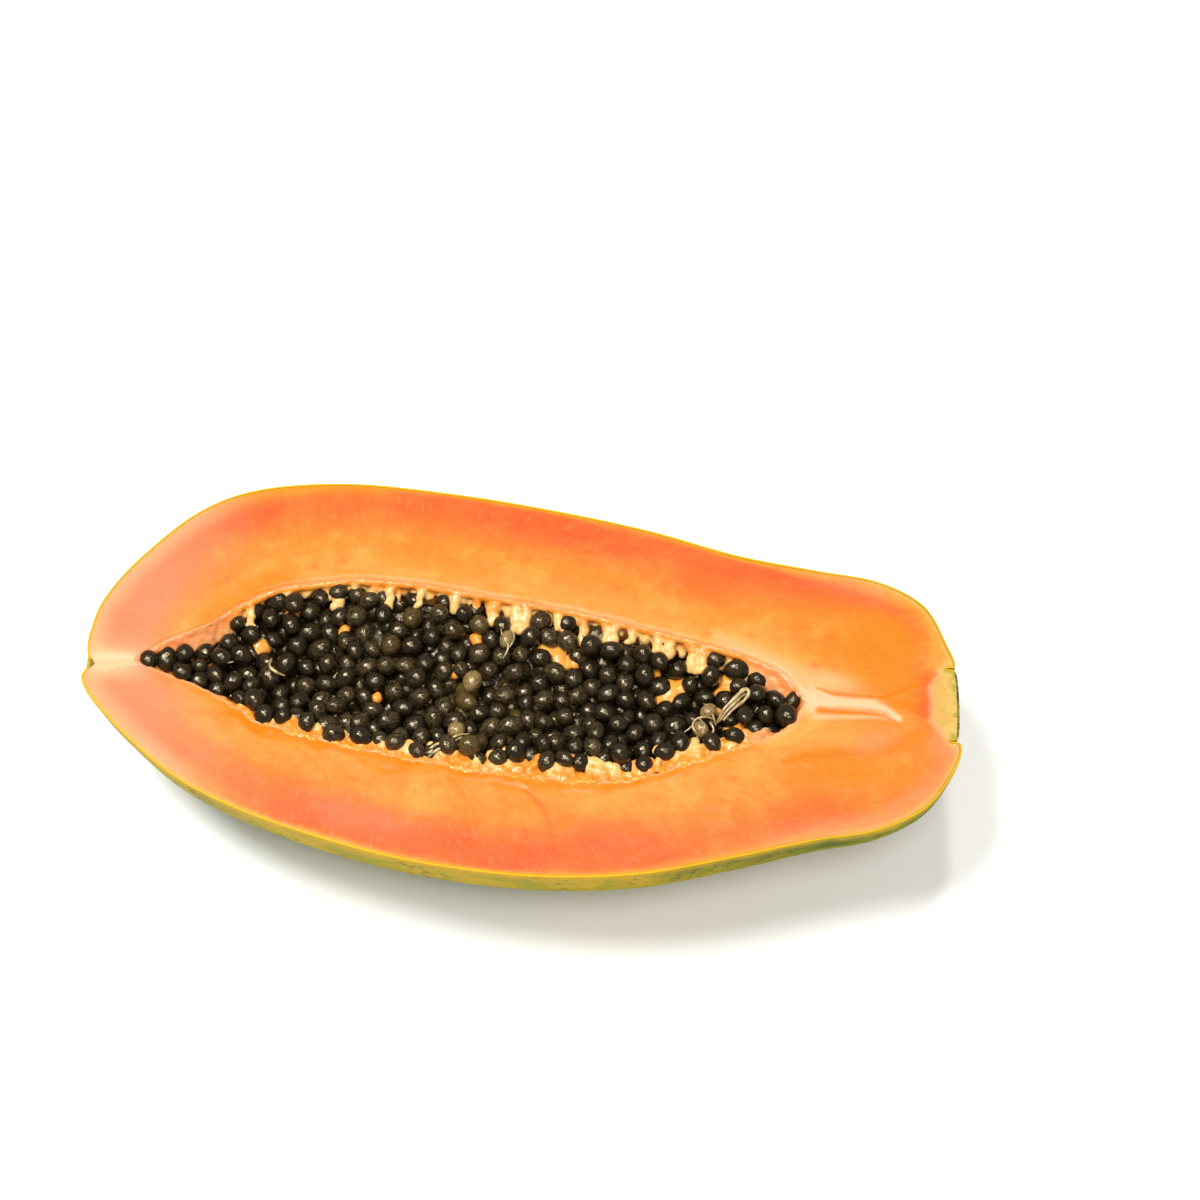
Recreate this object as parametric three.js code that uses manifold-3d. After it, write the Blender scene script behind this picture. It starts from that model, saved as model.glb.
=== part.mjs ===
// One half of a ripe papaya, cut lengthwise, lying on its skin with the cut face up and its seeds in place.
// Millimetres. X runs from the blossom end to the stem end, Y from the near side to the far side of the cut,
// and Z up from the surface that the half lies on. The origin is under the middle of the cut.
import * as THREE from "three";
import { mergeVertices } from "three/addons/utils/BufferGeometryUtils.js";
import Module from "manifold-3d";

const wasm = await Module();
wasm.setup();

// Driving dimensions of the fruit
const CUT_HEIGHT = 60; // the cut face above the surface that the half lies on
const RIB_COUNT = 5; // a papaya has one soft rib for each of its five carpels
const RIB_TURN = 0.35; // radians from the far edge of the cut to the first rib
const RIB_HEIGHT = 0.016; // share of the radius that a rib rises by, at most
const RIB_START = 0.35; // share of that height that the ribs have at the blossom end

// Rings from the blossom end to the stem end. far and near are where a ring meets the cut face, as [x, y],
// and depth is how far it hangs below the cut face.
const FRUIT_RINGS = [
  { far: [-129.2, 0], near: [-129.2, 0], depth: 0 }, // bottom of the blossom dimple
  { far: [-131.4, 4.2], near: [-132.2, -4], depth: 4 },
  { far: [-131, 11.5], near: [-130.4, -8.8], depth: 10 },
  { far: [-128, 22], near: [-126, -14], depth: 18 },
  { far: [-118.6, 36], near: [-117, -22.8], depth: 30 },
  { far: [-102.3, 52.4], near: [-101, -35.2], depth: 43.5 },
  { far: [-84, 61], near: [-82, -44.2], depth: 52.5 },
  { far: [-57, 64.3], near: [-56, -52.3], depth: 59 },
  { far: [-27, 62.7], near: [-27, -58.4], depth: 60.6 },
  { far: [4, 58.8], near: [6, -61], depth: 60.7 }, // widest
  { far: [35, 53.2], near: [37, -58.8], depth: 59 },
  { far: [63, 46.1], near: [64, -52.4], depth: 53 },
  { far: [87, 42.3], near: [88, -45.7], depth: 46.5 }, // neck
  { far: [106, 39.4], near: [107, -41.4], depth: 41 },
  { far: [120, 32], near: [121.5, -33.2], depth: 33 },
  { far: [127.2, 19], near: [130, -20.4], depth: 20 },
  { far: [129.5, 12.8], near: [131.5, -12.9], depth: 12.8 }, // shoulder round the stem
  { far: [126.6, 11.6], near: [128, -11.7], depth: 11.6 }, // groove round the stem
  { far: [129.8, 10.2], near: [130.6, -10.4], depth: 10.3 }, // rim of the stem stub
  { far: [130.8, -0.2], near: [130.8, -0.2], depth: 0 },
];

// Rings of the seed cavity, from its blossom tip to its stem tip
const CAVITY_RINGS = [
  { far: [-116, 2], near: [-116, 2], depth: 0 },
  { far: [-108, 8.6], near: [-107, -1.8], depth: 6 },
  { far: [-96, 14.6], near: [-96, -5.8], depth: 11.5 },
  { far: [-86.5, 21.6], near: [-85, -11.8], depth: 16.5 },
  { far: [-75.5, 27.6], near: [-74, -17.2], depth: 21 },
  { far: [-54, 31.7], near: [-52, -21.6], depth: 26 },
  { far: [-34, 31.3], near: [-32, -25.3], depth: 28 },
  { far: [-12, 28.2], near: [-10, -28.4], depth: 28.5 },
  { far: [10, 25.2], near: [12, -29.8], depth: 28 },
  { far: [32, 20.9], near: [32, -29.2], depth: 26 },
  { far: [50, 16.8], near: [50, -22.8], depth: 22 },
  { far: [66, 12.6], near: [66, -16.4], depth: 17 },
  { far: [77.5, 7.8], near: [78.5, -10.4], depth: 11 },
  { far: [84.6, -1.2], near: [84.6, -1.2], depth: 0 },
];

const TIP_SLOPE_LENGTH = 60; // an inset of this much would draw each tip in by the cavity's whole length

// Where seed centres lie: at each x, the far and near y that they reach
const SEED_ZONE = [
  { x: -112.4, far: 1.8, near: 0.6 },
  { x: -104, far: -0.4, near: -2 },
  { x: -95, far: 1.2, near: -4.4 },
  { x: -87, far: 14.5, near: -7.5 },
  { x: -77, far: 22.5, near: -13.2 },
  { x: -56, far: 27.6, near: -18.8 },
  { x: -36, far: 26.6, near: -22.6 },
  { x: -10, far: 21.6, near: -25.2 },
  { x: 12, far: 18.6, near: -26.4 },
  { x: 30, far: 14.6, near: -25.8 },
  { x: 46, far: 11.4, near: -20.6 },
  { x: 62, far: 7.6, near: -14 },
  { x: 72, far: 5, near: -9.6 },
  { x: 80.4, far: 0.4, near: -3.6 },
];

// Seeds
const SEED_COUNT = 184;
const SEED_LENGTH = 7.2;
const SEED_WIDTH = 6;
const SEED_SIZE_SPREAD = 0.1; // share by which a seed is larger or smaller
const SEED_TILT = 0.6; // most that a seed leans from lying flat, in radians
const SEED_SINK_EDGE = 3.4; // seed centres below the cut face, at the edge of the zone
const SEED_SINK_MIDDLE = 6.6; // and along its middle
const SEED_SINK_SPREAD = 1.3; // a seed's centre is above or below that by up to this much
const FULL_ZONE_WIDTH = 30; // the zone's middle sinks fully where it is this wide
const CANDIDATES = 24; // places tried for each seed, of which the loneliest is taken
const BED_ABOVE_CENTRES = 0.3; // the packed mass under the top layer reaches this far above the seed centres
const BED_BEYOND_ZONE = 0.6; // and this far past the zone on each side

// Stubs of placenta on the cavity wall, where seeds have come away
const STUB_ROOT = 2.2; // how far a stub's root lies inside the wall
const STUB_COVER = 0.3; // least flesh above a stub
const STUB_SPREAD = 0.5; // share by which a stub reaches more or less, and half that for its radius
const STUB_SWING = 0.5; // most that a stub turns from square to the wall, in radians
const STUB_DROOP = [0.2, 0.6]; // least and most that a stub hangs down, in radians
const FAR_STUBS = { first: 0.19, last: 0.86, count: 28, radius: 2, reach: 4.4, sink: 2, side: 1 };
const NEAR_STUBS = { first: 0.24, last: 0.9, count: 30, radius: 1.7, reach: 3.2, sink: 1.6, side: -1 };

const CLEARANCE = 0.4; // gap between the seeds and the flesh
const HEADROOM = 12; // how far the cutting shapes rise above the cut face
const FACET_SWELL = 1.09; // a twenty-sided solid is drawn this much larger, to hold what its round form holds
const MERGE_DISTANCE = 1e-4; // corners closer than this are one
const RANDOM_START = 20240611;

// Numbers from 0 to 1 that are the same each time
function randomFrom(start) {
  const range = 2 ** 32;
  let state = start;
  return () => {
    state = (state * 1664525 + 1013904223) % range;
    return state / range;
  };
}

// Smooth lines through the rings: far edge, near edge and depth, all at the same t from 0 to 1
function linesThrough(rings) {
  const line = (points) => new THREE.SplineCurve(points.map(([x, y]) => new THREE.Vector2(x, y)));
  return {
    far: line(rings.map((ring) => ring.far)),
    near: line(rings.map((ring) => ring.near)),
    depth: line(rings.map((ring, i) => [i, ring.depth])),
  };
}

// The point at t along the lines and at an angle from the far edge, down under the cut and up to the near edge
function pointOn(lines, t, angle, inset = 0, rib = 0) {
  const far = lines.far.getPoint(t);
  const near = lines.near.getPoint(t);
  const depth = lines.depth.getPoint(t).y;
  const halfWidth = far.distanceTo(near) / 2;
  const swell = 1 + rib * Math.sin(angle) * Math.cos(RIB_COUNT * (angle - RIB_TURN));
  const kept = halfWidth > inset ? 1 - inset / halfWidth : 0;
  const across = Math.cos(angle) * swell * kept;
  return new THREE.Vector3(
    (far.x + near.x) / 2 + ((far.x - near.x) / 2) * across,
    (far.y + near.y) / 2 + ((far.y - near.y) / 2) * across,
    CUT_HEIGHT - Math.max(0, depth - inset) * Math.sin(angle) * swell,
  );
}

// A closed solid over rows of points. Each row is a loop, and the first and last rows have no width.
function solidOver(rows) {
  const across = rows[0].length;
  const index = [];
  for (let i = 0; i + 1 < rows.length; i++) {
    for (let j = 0; j < across; j++) {
      const a = i * across + j;
      const b = i * across + ((j + 1) % across);
      index.push(a, b + across, b, a, a + across, b + across);
    }
  }
  const geometry = new THREE.BufferGeometry().setFromPoints(rows.flat());
  geometry.setIndex(index);
  return solidFrom(geometry);
}

// A geometry as a solid, with its shared corners merged and its empty triangles dropped
function solidFrom(geometry) {
  geometry.deleteAttribute("normal");
  geometry.deleteAttribute("uv");
  const merged = mergeVertices(geometry, MERGE_DISTANCE);
  const corners = merged.index.array;
  const kept = [];
  for (let i = 0; i < corners.length; i += 3) {
    const [a, b, c] = corners.slice(i, i + 3);
    if (a !== b && b !== c && c !== a) kept.push(a, b, c);
  }
  const vertProperties = new Float32Array(merged.attributes.position.array);
  return new wasm.Manifold(new wasm.Mesh({ numProp: 3, vertProperties, triVerts: new Uint32Array(kept) }));
}

// Half of the whole fruit, below the cut, flattened where it lies on the surface
function fruitBody() {
  const lines = linesThrough(FRUIT_RINGS);
  const alongSteps = 57;
  const aroundSteps = 22;
  const rows = [];
  for (let i = 0; i <= alongSteps; i++) {
    const t = i / alongSteps;
    const rib = RIB_HEIGHT * Math.sin(Math.PI * t) * (RIB_START + (1 - RIB_START) * t);
    const row = [];
    for (let j = 0; j <= aroundSteps; j++) row.push(pointOn(lines, t, (Math.PI * j) / aroundSteps, 0, rib));
    rows.push(row);
  }
  const belowSurface = new THREE.BoxGeometry(6 * CUT_HEIGHT, 4 * CUT_HEIGHT, HEADROOM);
  belowSurface.translate(0, 0, -HEADROOM / 2);
  return solidOver(rows).subtract(solidFrom(belowSurface));
}

// The space of the cavity, drawn in by inset, and open above the cut
function cavitySpace(inset, alongSteps, aroundSteps) {
  const lines = linesThrough(CAVITY_RINGS);
  const tipInset = inset / TIP_SLOPE_LENGTH;
  const rows = [];
  for (let i = 0; i <= alongSteps; i++) {
    const t = tipInset + (1 - 2 * tipInset) * (i / alongSteps);
    const atTip = i === 0 || i === alongSteps;
    const row = [];
    for (let j = 0; j <= aroundSteps; j++) {
      const angle = (Math.PI * j) / aroundSteps;
      const point = pointOn(lines, t, angle, inset);
      if (atTip) point.copy(pointOn(lines, t, Math.PI / 2)).setZ(CUT_HEIGHT);
      row.push(point);
    }
    const top = CUT_HEIGHT + HEADROOM;
    row.unshift(row[0].clone().setZ(top));
    row.push(row[row.length - 1].clone().setZ(top));
    rows.push(row);
  }
  return solidOver(rows);
}

// The far and near limits of the seed zone at x
function zoneAt(x) {
  const after = Math.max(1, SEED_ZONE.findIndex((stop) => stop.x >= x));
  const [low, high] = [SEED_ZONE[after - 1], SEED_ZONE[after]];
  const share = (x - low.x) / (high.x - low.x);
  return { far: low.far + (high.far - low.far) * share, near: low.near + (high.near - low.near) * share };
}

// How far seed centres lie below the cut face at a place
function sinkAt(x, y) {
  const { far, near } = zoneAt(x);
  const side = Math.min(1, Math.abs(y - (far + near) / 2) / Math.max((far - near) / 2, 1));
  const fullness = Math.min(1, (far - near) / FULL_ZONE_WIDTH);
  return SEED_SINK_EDGE + (SEED_SINK_MIDDLE - SEED_SINK_EDGE) * (1 - side * side) * fullness;
}

// Each seed's centre, lie and size. Every seed goes to the loneliest of a few random places in the zone.
function placeSeeds() {
  const random = randomFrom(RANDOM_START);
  const first = SEED_ZONE[0].x;
  const last = SEED_ZONE[SEED_ZONE.length - 1].x;
  const lowest = Math.min(...SEED_ZONE.map((stop) => stop.near));
  const highest = Math.max(...SEED_ZONE.map((stop) => stop.far));
  const seeds = [];
  while (seeds.length < SEED_COUNT) {
    let best = null;
    let bestGap = -1;
    for (let tried = 0; tried < CANDIDATES; ) {
      const x = first + (last - first) * random();
      const y = lowest + (highest - lowest) * random();
      const { far, near } = zoneAt(x);
      if (y > far || y < near) continue;
      tried += 1;
      const gap = Math.min(last - first, ...seeds.map((seed) => Math.hypot(seed.x - x, seed.y - y)));
      if (gap > bestGap) {
        best = { x, y };
        bestGap = gap;
      }
    }
    best.z = CUT_HEIGHT - sinkAt(best.x, best.y) + SEED_SINK_SPREAD * (2 * random() - 1);
    best.turn = Math.PI * random();
    best.lean = SEED_TILT * (2 * random() - 1);
    best.size = 1 + SEED_SIZE_SPREAD * (2 * random() - 1);
    seeds.push(best);
  }
  return seeds;
}

// An egg-shaped solid with twenty sides
function roundSolid(matrix) {
  const geometry = new THREE.IcosahedronGeometry(FACET_SWELL, 0);
  geometry.applyMatrix4(matrix);
  return solidFrom(geometry);
}

function seedSolid(seed) {
  const matrix = new THREE.Matrix4().compose(
    new THREE.Vector3(seed.x, seed.y, seed.z),
    new THREE.Quaternion().setFromEuler(new THREE.Euler(0, seed.lean, seed.turn, "ZYX")),
    new THREE.Vector3(SEED_LENGTH, SEED_WIDTH, SEED_WIDTH).multiplyScalar(seed.size / 2),
  );
  return roundSolid(matrix);
}

// The packed mass under the top layer of seeds, as a block whose top follows them
function seedBed() {
  const steps = 20;
  const lanes = 4;
  const first = SEED_ZONE[0].x;
  const last = SEED_ZONE[SEED_ZONE.length - 1].x;
  const outside = BED_BEYOND_ZONE;
  const rows = [];
  for (let i = 0; i <= steps; i++) {
    const x = first + (last - first) * (i / steps);
    const { far, near } = zoneAt(x);
    const top = [];
    for (let j = 0; j <= lanes; j++) {
      const y = near - outside + (far - near + 2 * outside) * (j / lanes);
      top.push(new THREE.Vector3(x, y, CUT_HEIGHT - sinkAt(x, y) + BED_ABOVE_CENTRES));
    }
    const base = CUT_HEIGHT / 2 - HEADROOM;
    rows.push([top[0].clone().setZ(base), ...top, top[lanes].clone().setZ(base)]);
  }
  rows.unshift(rows[0].map(() => rows[0][0].clone().setY(0).setX(first - outside)));
  rows.push(rows[1].map(() => rows[1][0].clone().setY(0).setX(last + outside)));
  return solidOver(rows);
}

// The stubs of one side, each a finger from the wall towards the middle, grown by grow
function stubSolids(side, grow) {
  const lines = linesThrough(CAVITY_RINGS);
  const random = randomFrom(RANDOM_START + side.count);
  const stubs = [];
  for (let i = 0; i < side.count; i++) {
    const t = side.first + ((side.last - side.first) * (i + random())) / side.count;
    const edge = side.side > 0 ? lines.far.getPoint(t) : lines.near.getPoint(t);
    const radius = side.radius * (1 + STUB_SPREAD * (random() - 0.5));
    const reach = side.reach * (1 + STUB_SPREAD * (2 * random() - 1));
    const sink = radius + STUB_COVER + side.sink * random();
    const swing = STUB_SWING * (2 * random() - 1);
    const droop = STUB_DROOP[0] + (STUB_DROOP[1] - STUB_DROOP[0]) * random();
    const middle = (reach - STUB_ROOT) / 2;
    const inward = new THREE.Vector3(Math.sin(swing), -side.side * Math.cos(swing), 0);
    const centre = new THREE.Vector3(edge.x, edge.y, CUT_HEIGHT - sink - middle * Math.sin(droop));
    const matrix = new THREE.Matrix4().compose(
      centre.addScaledVector(inward, middle),
      new THREE.Quaternion().setFromEuler(new THREE.Euler(0, droop, Math.atan2(inward.y, inward.x), "ZYX")),
      new THREE.Vector3((reach + STUB_ROOT) / 2 + grow, radius + grow, radius + grow),
    );
    stubs.push(roundSolid(matrix));
  }
  return stubs;
}

function allStubs(grow) {
  return wasm.Manifold.union([...stubSolids(FAR_STUBS, grow), ...stubSolids(NEAR_STUBS, grow)]);
}

// The flesh, skin and stubs of placenta, which grew as one piece
function fruitSolid() {
  return fruitBody().subtract(cavitySpace(0, 40, 10)).add(allStubs(0));
}

// The seeds and the mass under them, clear of the flesh
function seedsSolid() {
  const seeds = placeSeeds().map(seedSolid);
  const whole = wasm.Manifold.union([seedBed(), ...seeds])
    .intersect(cavitySpace(CLEARANCE, 20, 8))
    .subtract(allStubs(CLEARANCE));
  return whole.decompose().reduce((largest, piece) => (piece.volume() > largest.volume() ? piece : largest));
}

function meshOf(name, solid, look) {
  const { vertProperties, triVerts } = solid.getMesh();
  const geometry = new THREE.BufferGeometry();
  geometry.setAttribute("position", new THREE.BufferAttribute(vertProperties, 3));
  geometry.setIndex(new THREE.BufferAttribute(triVerts, 1));
  const flat = geometry.toNonIndexed();
  flat.computeVertexNormals();
  const mesh = new THREE.Mesh(flat, new THREE.MeshStandardMaterial(look));
  mesh.name = name;
  return mesh;
}

const papaya = new THREE.Group();
papaya.name = "papaya_half";
papaya.add(meshOf("fruit", fruitSolid(), { color: 0xff9a50, roughness: 0.45, metalness: 0 }));
papaya.add(meshOf("seeds", seedsSolid(), { color: 0x241b14, roughness: 0.2, metalness: 0 }));

export default papaya;
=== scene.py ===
# One half of a ripe papaya, cut lengthwise: skin, flesh, placenta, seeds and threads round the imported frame.
# Lengths are in millimetres until a mesh is made. X runs from the blossom end to the stem end, Y from the near
# side of the cut to the far side, and Z up from the surface that the half lies on.
import math

import bmesh
import bpy
import numpy as np
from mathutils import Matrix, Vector
from mathutils.kdtree import KDTree


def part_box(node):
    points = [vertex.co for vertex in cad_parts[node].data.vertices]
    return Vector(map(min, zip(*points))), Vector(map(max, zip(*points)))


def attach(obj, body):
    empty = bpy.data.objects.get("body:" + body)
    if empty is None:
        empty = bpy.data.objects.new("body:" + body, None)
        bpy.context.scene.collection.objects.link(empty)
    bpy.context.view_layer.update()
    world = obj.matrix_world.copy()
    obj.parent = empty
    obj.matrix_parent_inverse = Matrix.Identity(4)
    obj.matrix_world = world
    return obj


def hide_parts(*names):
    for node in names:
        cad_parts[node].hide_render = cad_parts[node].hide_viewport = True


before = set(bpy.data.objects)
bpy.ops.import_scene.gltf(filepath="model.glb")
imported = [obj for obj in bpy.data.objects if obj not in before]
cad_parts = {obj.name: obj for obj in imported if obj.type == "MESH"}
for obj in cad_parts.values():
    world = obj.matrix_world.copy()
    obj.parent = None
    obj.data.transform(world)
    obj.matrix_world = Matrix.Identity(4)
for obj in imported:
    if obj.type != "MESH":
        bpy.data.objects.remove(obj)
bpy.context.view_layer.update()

MM = 0.001  # metres in a millimetre
CUT_LENGTH = 264
CUT_HEIGHT = round(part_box("fruit")[1].z / MM, 3)  # the cut face above the surface that the half lies on

# Shape of the fruit: rings from the blossom end to the stem end. Each has the two points where it meets the cut
# face, on the far side and on the near side, and its depth below the cut face.
FRUIT_RINGS = [
    ((-129.2, 0), (-129.2, 0), 0),  # bottom of the blossom dimple
    ((-131.4, 4.2), (-132.2, -4), 4),
    ((-131, 11.5), (-130.4, -8.8), 10),
    ((-128, 22), (-126, -14), 18),
    ((-118.6, 36), (-117, -22.8), 30),
    ((-102.3, 52.4), (-101, -35.2), 43.5),
    ((-84, 61), (-82, -44.2), 52.5),
    ((-57, 64.3), (-56, -52.3), 59),
    ((-27, 62.7), (-27, -58.4), 60.6),
    ((4, 58.8), (6, -61), 60.7),  # widest
    ((35, 53.2), (37, -58.8), 59),
    ((63, 46.1), (64, -52.4), 53),
    ((87, 42.3), (88, -45.7), 46.5),  # neck
    ((106, 39.4), (107, -41.4), 41),
    ((120, 32), (121.5, -33.2), 33),
    ((127.2, 19), (130, -20.4), 20),
    ((129.5, 12.8), (131.5, -12.9), 12.8),  # shoulder round the stem
    ((126.6, 11.6), (128, -11.7), 11.6),  # groove round the stem
    ((129.8, 10.2), (130.6, -10.4), 10.3),  # rim of the stem stub
    ((130.8, -0.2), (130.8, -0.2), 0),
]
CAVITY_RINGS = [
    ((-116, 2), (-116, 2), 0),
    ((-108, 8.6), (-107, -1.8), 6),
    ((-96, 14.6), (-96, -5.8), 11.5),
    ((-86.5, 21.6), (-85, -11.8), 16.5),
    ((-75.5, 27.6), (-74, -17.2), 21),
    ((-54, 31.7), (-52, -21.6), 26),
    ((-34, 31.3), (-32, -25.3), 28),
    ((-12, 28.2), (-10, -28.4), 28.5),
    ((10, 25.2), (12, -29.8), 28),
    ((32, 20.9), (32, -29.2), 26),
    ((50, 16.8), (50, -22.8), 22),
    ((66, 12.6), (66, -16.4), 17),
    ((77.5, 7.8), (78.5, -10.4), 11),
    ((84.6, -1.2), (84.6, -1.2), 0),
]
RIB_COUNT = 5
RIB_TURN = 0.35  # radians from the far edge of the cut to the first rib
RIB_HEIGHT = 0.016  # share of the radius that a rib rises by, at most
RIB_START = 0.35  # share of that height at the blossom end

PEEL = 0.6  # thickness of the skin
SEAM = 0.12  # how far the flesh reaches into the skin, so that no gap shows
LIP_DROP = 0.7  # how far the rim of the cavity rounds down
LIP_WIDTH = 0.9  # how far from the rim that rounding reaches into the cut face
LIP_DEPTH = 1.4  # and how far down the wall
RIM_FADE = 1.1  # width over which the colours of the cut face pass into those of the wall
FACE_ROWS = 84  # rows of the flesh's mesh from the skin to the cavity
FRUIT_ROWS = 400  # rows of the meshes of skin and flesh from end to end
SKIN_COLUMNS = 101
HIDDEN_COLUMNS = 21  # of surfaces out of sight
WALL_COLUMNS = 49
BED_ROWS = 240
BED_COLUMNS = 60
FINE_SEED = (26, 17)  # segments and rings of a seed
COARSE_SEED = (16, 10)
END_CROWDING = 0.45  # how much closer the mesh is at both ends of the fruit
YELLOW_EDGE = 4.6  # how far the yellow along the cut reaches down the skin
STEM_SCAR = (12, 9)  # how far from its middle the scar fades out, and is whole
BLOSSOM_SCAR = (2.6, 1.2)

# Seeds: where their centres lie, as x, far y and near y
SEED_ZONE = [
    (-112.4, 1.8, 0.6),
    (-104, -0.4, -2),
    (-95, 1.2, -4.4),
    (-87, 14.5, -7.5),
    (-77, 22.5, -13.2),
    (-56, 27.6, -18.8),
    (-36, 26.6, -22.6),
    (-10, 21.6, -25.2),
    (12, 18.6, -26.4),
    (30, 14.6, -25.8),
    (46, 11.4, -20.6),
    (62, 7.6, -14),
    (72, 5, -9.6),
    (80.4, 0.4, -3.6),
]
SEED_COUNT = 184
SEED_LENGTH = 6.8
SEED_WIDTH = 5.7
SEED_SIZE_SPREAD = 0.1
SEED_TILT = 0.6  # radians from level, at most
SEED_SINK_EDGE = 3.4  # how deep the seeds' centres lie at the edge of the zone
SEED_SINK_MIDDLE = 6.6
SEED_SINK_SPREAD = 1.3  # how much higher or lower they may lie
HIGHEST_SEED = 1.8  # least depth of a seed's centre below the cut face
NEAR_LIFT = 1.5  # how far seeds next to the crumbs of placenta lie up on them
FULL_ZONE_WIDTH = 30  # a narrower zone holds its seeds higher in the middle
CANDIDATES = 24  # places tried for each seed
RANDOM_START = 20240611
SEED_ROWS = [  # paths of x and y, the gap from seed to seed, and the height
    ([(-113.4, 4.2), (-107.4, 2.6), (-101.8, -0.4), (-96.8, 0), (-88.4, -3.2), (-81.6, -4)], 5.4, 56.6),
    ([(-103.4, 3.8), (-98, 5), (-92.6, 6.4), (-88, 10), (-86, 15.2)], 5.8, 56),
    ([(-82, 22.6), (-77, 25.6), (-69.8, 26.6), (-63.8, 26.4)], 6.6, 55.4),
    ([(-52.4, 29), (-44, 26), (-36, 27.6), (-29, 28), (-16, 25)], 8.4, 55),
    ([(3.8, 23), (12.2, 19.6), (21, 18), (31, 16), (40, 13)], 8, 55),
    ([(57.6, 12.8), (67, 6.6), (73, 4.2), (79, 2.4)], 6.2, 55.8),
    ([(67.8, -7), (72.4, -4.4), (78.4, -3.4)], 5.4, 56.4),
    ([(-79, -10.6), (-60.4, -15.4), (-46, -19), (-31, -20.6)], 7.4, 57.8),
    ([(-13.8, -19.8), (0, -20), (16, -19.2), (31, -21.4)], 6.8, 57.8),
]
SETTLE_ROUNDS = 70
SEED_TIGHTNESS = 0.95  # share of its mean radius at which a seed pushes others away
FAR_MARGIN = 2  # how far seeds stay from the far rim
ROW_STRAY = 0.7  # how far a seed of a row lies from its place, at most, each way
ROW_SIZE_SPREAD = 0.15
# Seeds still in their cloudy membranes: places of their own, and numbers in the top layer
PALE_SEEDS = [(56.2, -5.4), (-19.4, -17.4), (-5.6, 15.2), (54.4, -11.4)]
PALE_TOP_SEEDS = {17, 96}
LOWER_SEEDS = 190
LOWER_DROP = 4.2  # how far the second layer of seeds lies below the first
LOWER_INSET = 2.2  # how much farther it stays from the near rim
BED_DROP = 1.2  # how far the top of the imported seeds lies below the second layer's centres
BED_LUMPS = 1.3  # how far its top rises and falls
BED_WIDTH = 0.93  # share of the cavity's width that they fill
BED_ENDS = (0.012, 0.985)  # where they begin and end along the cavity's lines

# The camera of the photograph
CAMERA_TARGET = (21.8, 28.9, 60)
CAMERA_DISTANCE = 1020.6
CAMERA_AZIMUTH = 3.02
CAMERA_ELEVATION = 65
CAMERA_LENS = 101.1
CAMERA_SENSOR = 36

# The light, in metres and watts
LIGHT_AIM = (0, 0, 0.05)
LIGHTS = [  # name, place, size and power
    ("key", (-0.45, 0.05, 1.4), 0.5, 27),
    ("spark", (0.08, 0.34, 1.4), 0.12, 5),
    ("front", (0.2, -0.5, 1.5), 0.5, 10),
]
WORLD_COLOUR = (1, 0.96, 0.9, 1)
WORLD_STRENGTH = 0.43
LIGHT_LEVEL = 1.6  # how much light falls on a level surface, as a multiple of what makes white look white
FLESH_TINT = (0.88, 0.74, 0.4, 1.0)  # multiplies the orange of the flesh, to keep it strong in this light


# Numbers and curves

def random_from(start):
    """Numbers from 0 to 1, the same each time and the same as in the part's source."""
    state = start
    while True:
        state = (state * 1664525 + 1013904223) % 2**32
        yield state / 2**32


def swing(random):
    """The next random number, from -1 to 1."""
    return 2 * next(random) - 1


def spread_along(random, first, last, count):
    """Numbers from first to last, each at a random place in its own share of the way."""
    for k in range(count):
        yield first + (last - first) * (k + next(random)) / count


def spline_at(stops, t):
    """Points at t, from 0 to 1, on a smooth curve through the stops."""
    stops = np.asarray(stops, float)
    last = len(stops) - 1
    place = np.clip(np.asarray(t, float) * last, 0, last)
    index = np.minimum(place.astype(int), last - 1)
    share = (place - index)[:, None]
    before, start = stops[np.maximum(index - 1, 0)], stops[index]
    end, after = stops[index + 1], stops[np.minimum(index + 2, last)]
    leaving, arriving = (end - before) / 2, (after - start) / 2
    cubic = 2 * start - 2 * end + leaving + arriving
    square = -3 * start + 3 * end - 2 * leaving - arriving
    return cubic * share**3 + square * share**2 + leaving * share + start


def smooth(low, high, value):
    """0 below low, 1 above high and an even rise between."""
    share = np.clip((value - low) / (high - low), 0, 1)
    return share * share * (3 - 2 * share)


def noise_at(points, size, seed=0):
    """Smooth noise from -1 to 1 at each point, with lumps about size across."""
    place = np.asarray(points, float) / size + 37.7 * seed
    cell = np.floor(place).astype(np.int64)
    share = place - cell
    share = share**3 * (share * (share * 6 - 15) + 10)
    total = np.zeros(len(place))
    for corner in range(8):
        step = np.array([corner & 1, corner >> 1 & 1, corner >> 2 & 1])
        key = (cell + step) @ np.array([73856093, 19349663, 83492791]) + seed * 9176
        key = (key ^ (key >> 13)) * 1274126177
        key = (key ^ (key >> 16)) & 0xFFFF
        weight = np.prod(np.where(step, share, 1 - share), axis=1)
        total += weight * (key / 0x7FFF - 1)
    return total


def rough_at(points, size, seed=0, octaves=3):
    """Noise with finer noise on it, from about -1 to 1."""
    total = sum(noise_at(points, size / 2**k, seed + k) / 2**k for k in range(octaves))
    return total / (2 - 2 ** (1 - octaves))


def lines_at(rings, t):
    """The points on the far line and on the near line, and the depth, at each t."""
    far = spline_at([ring[0] for ring in rings], t)
    near = spline_at([ring[1] for ring in rings], t)
    depth = spline_at([(ring[2],) for ring in rings], t)[:, 0]
    return far, near, depth


def grid_lines(rings, t):
    """The far line, near line and depth for a grid of values of t."""
    far, near, depth = lines_at(rings, t.ravel())
    return far.reshape(*t.shape, 2), near.reshape(*t.shape, 2), depth.reshape(t.shape)


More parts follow.
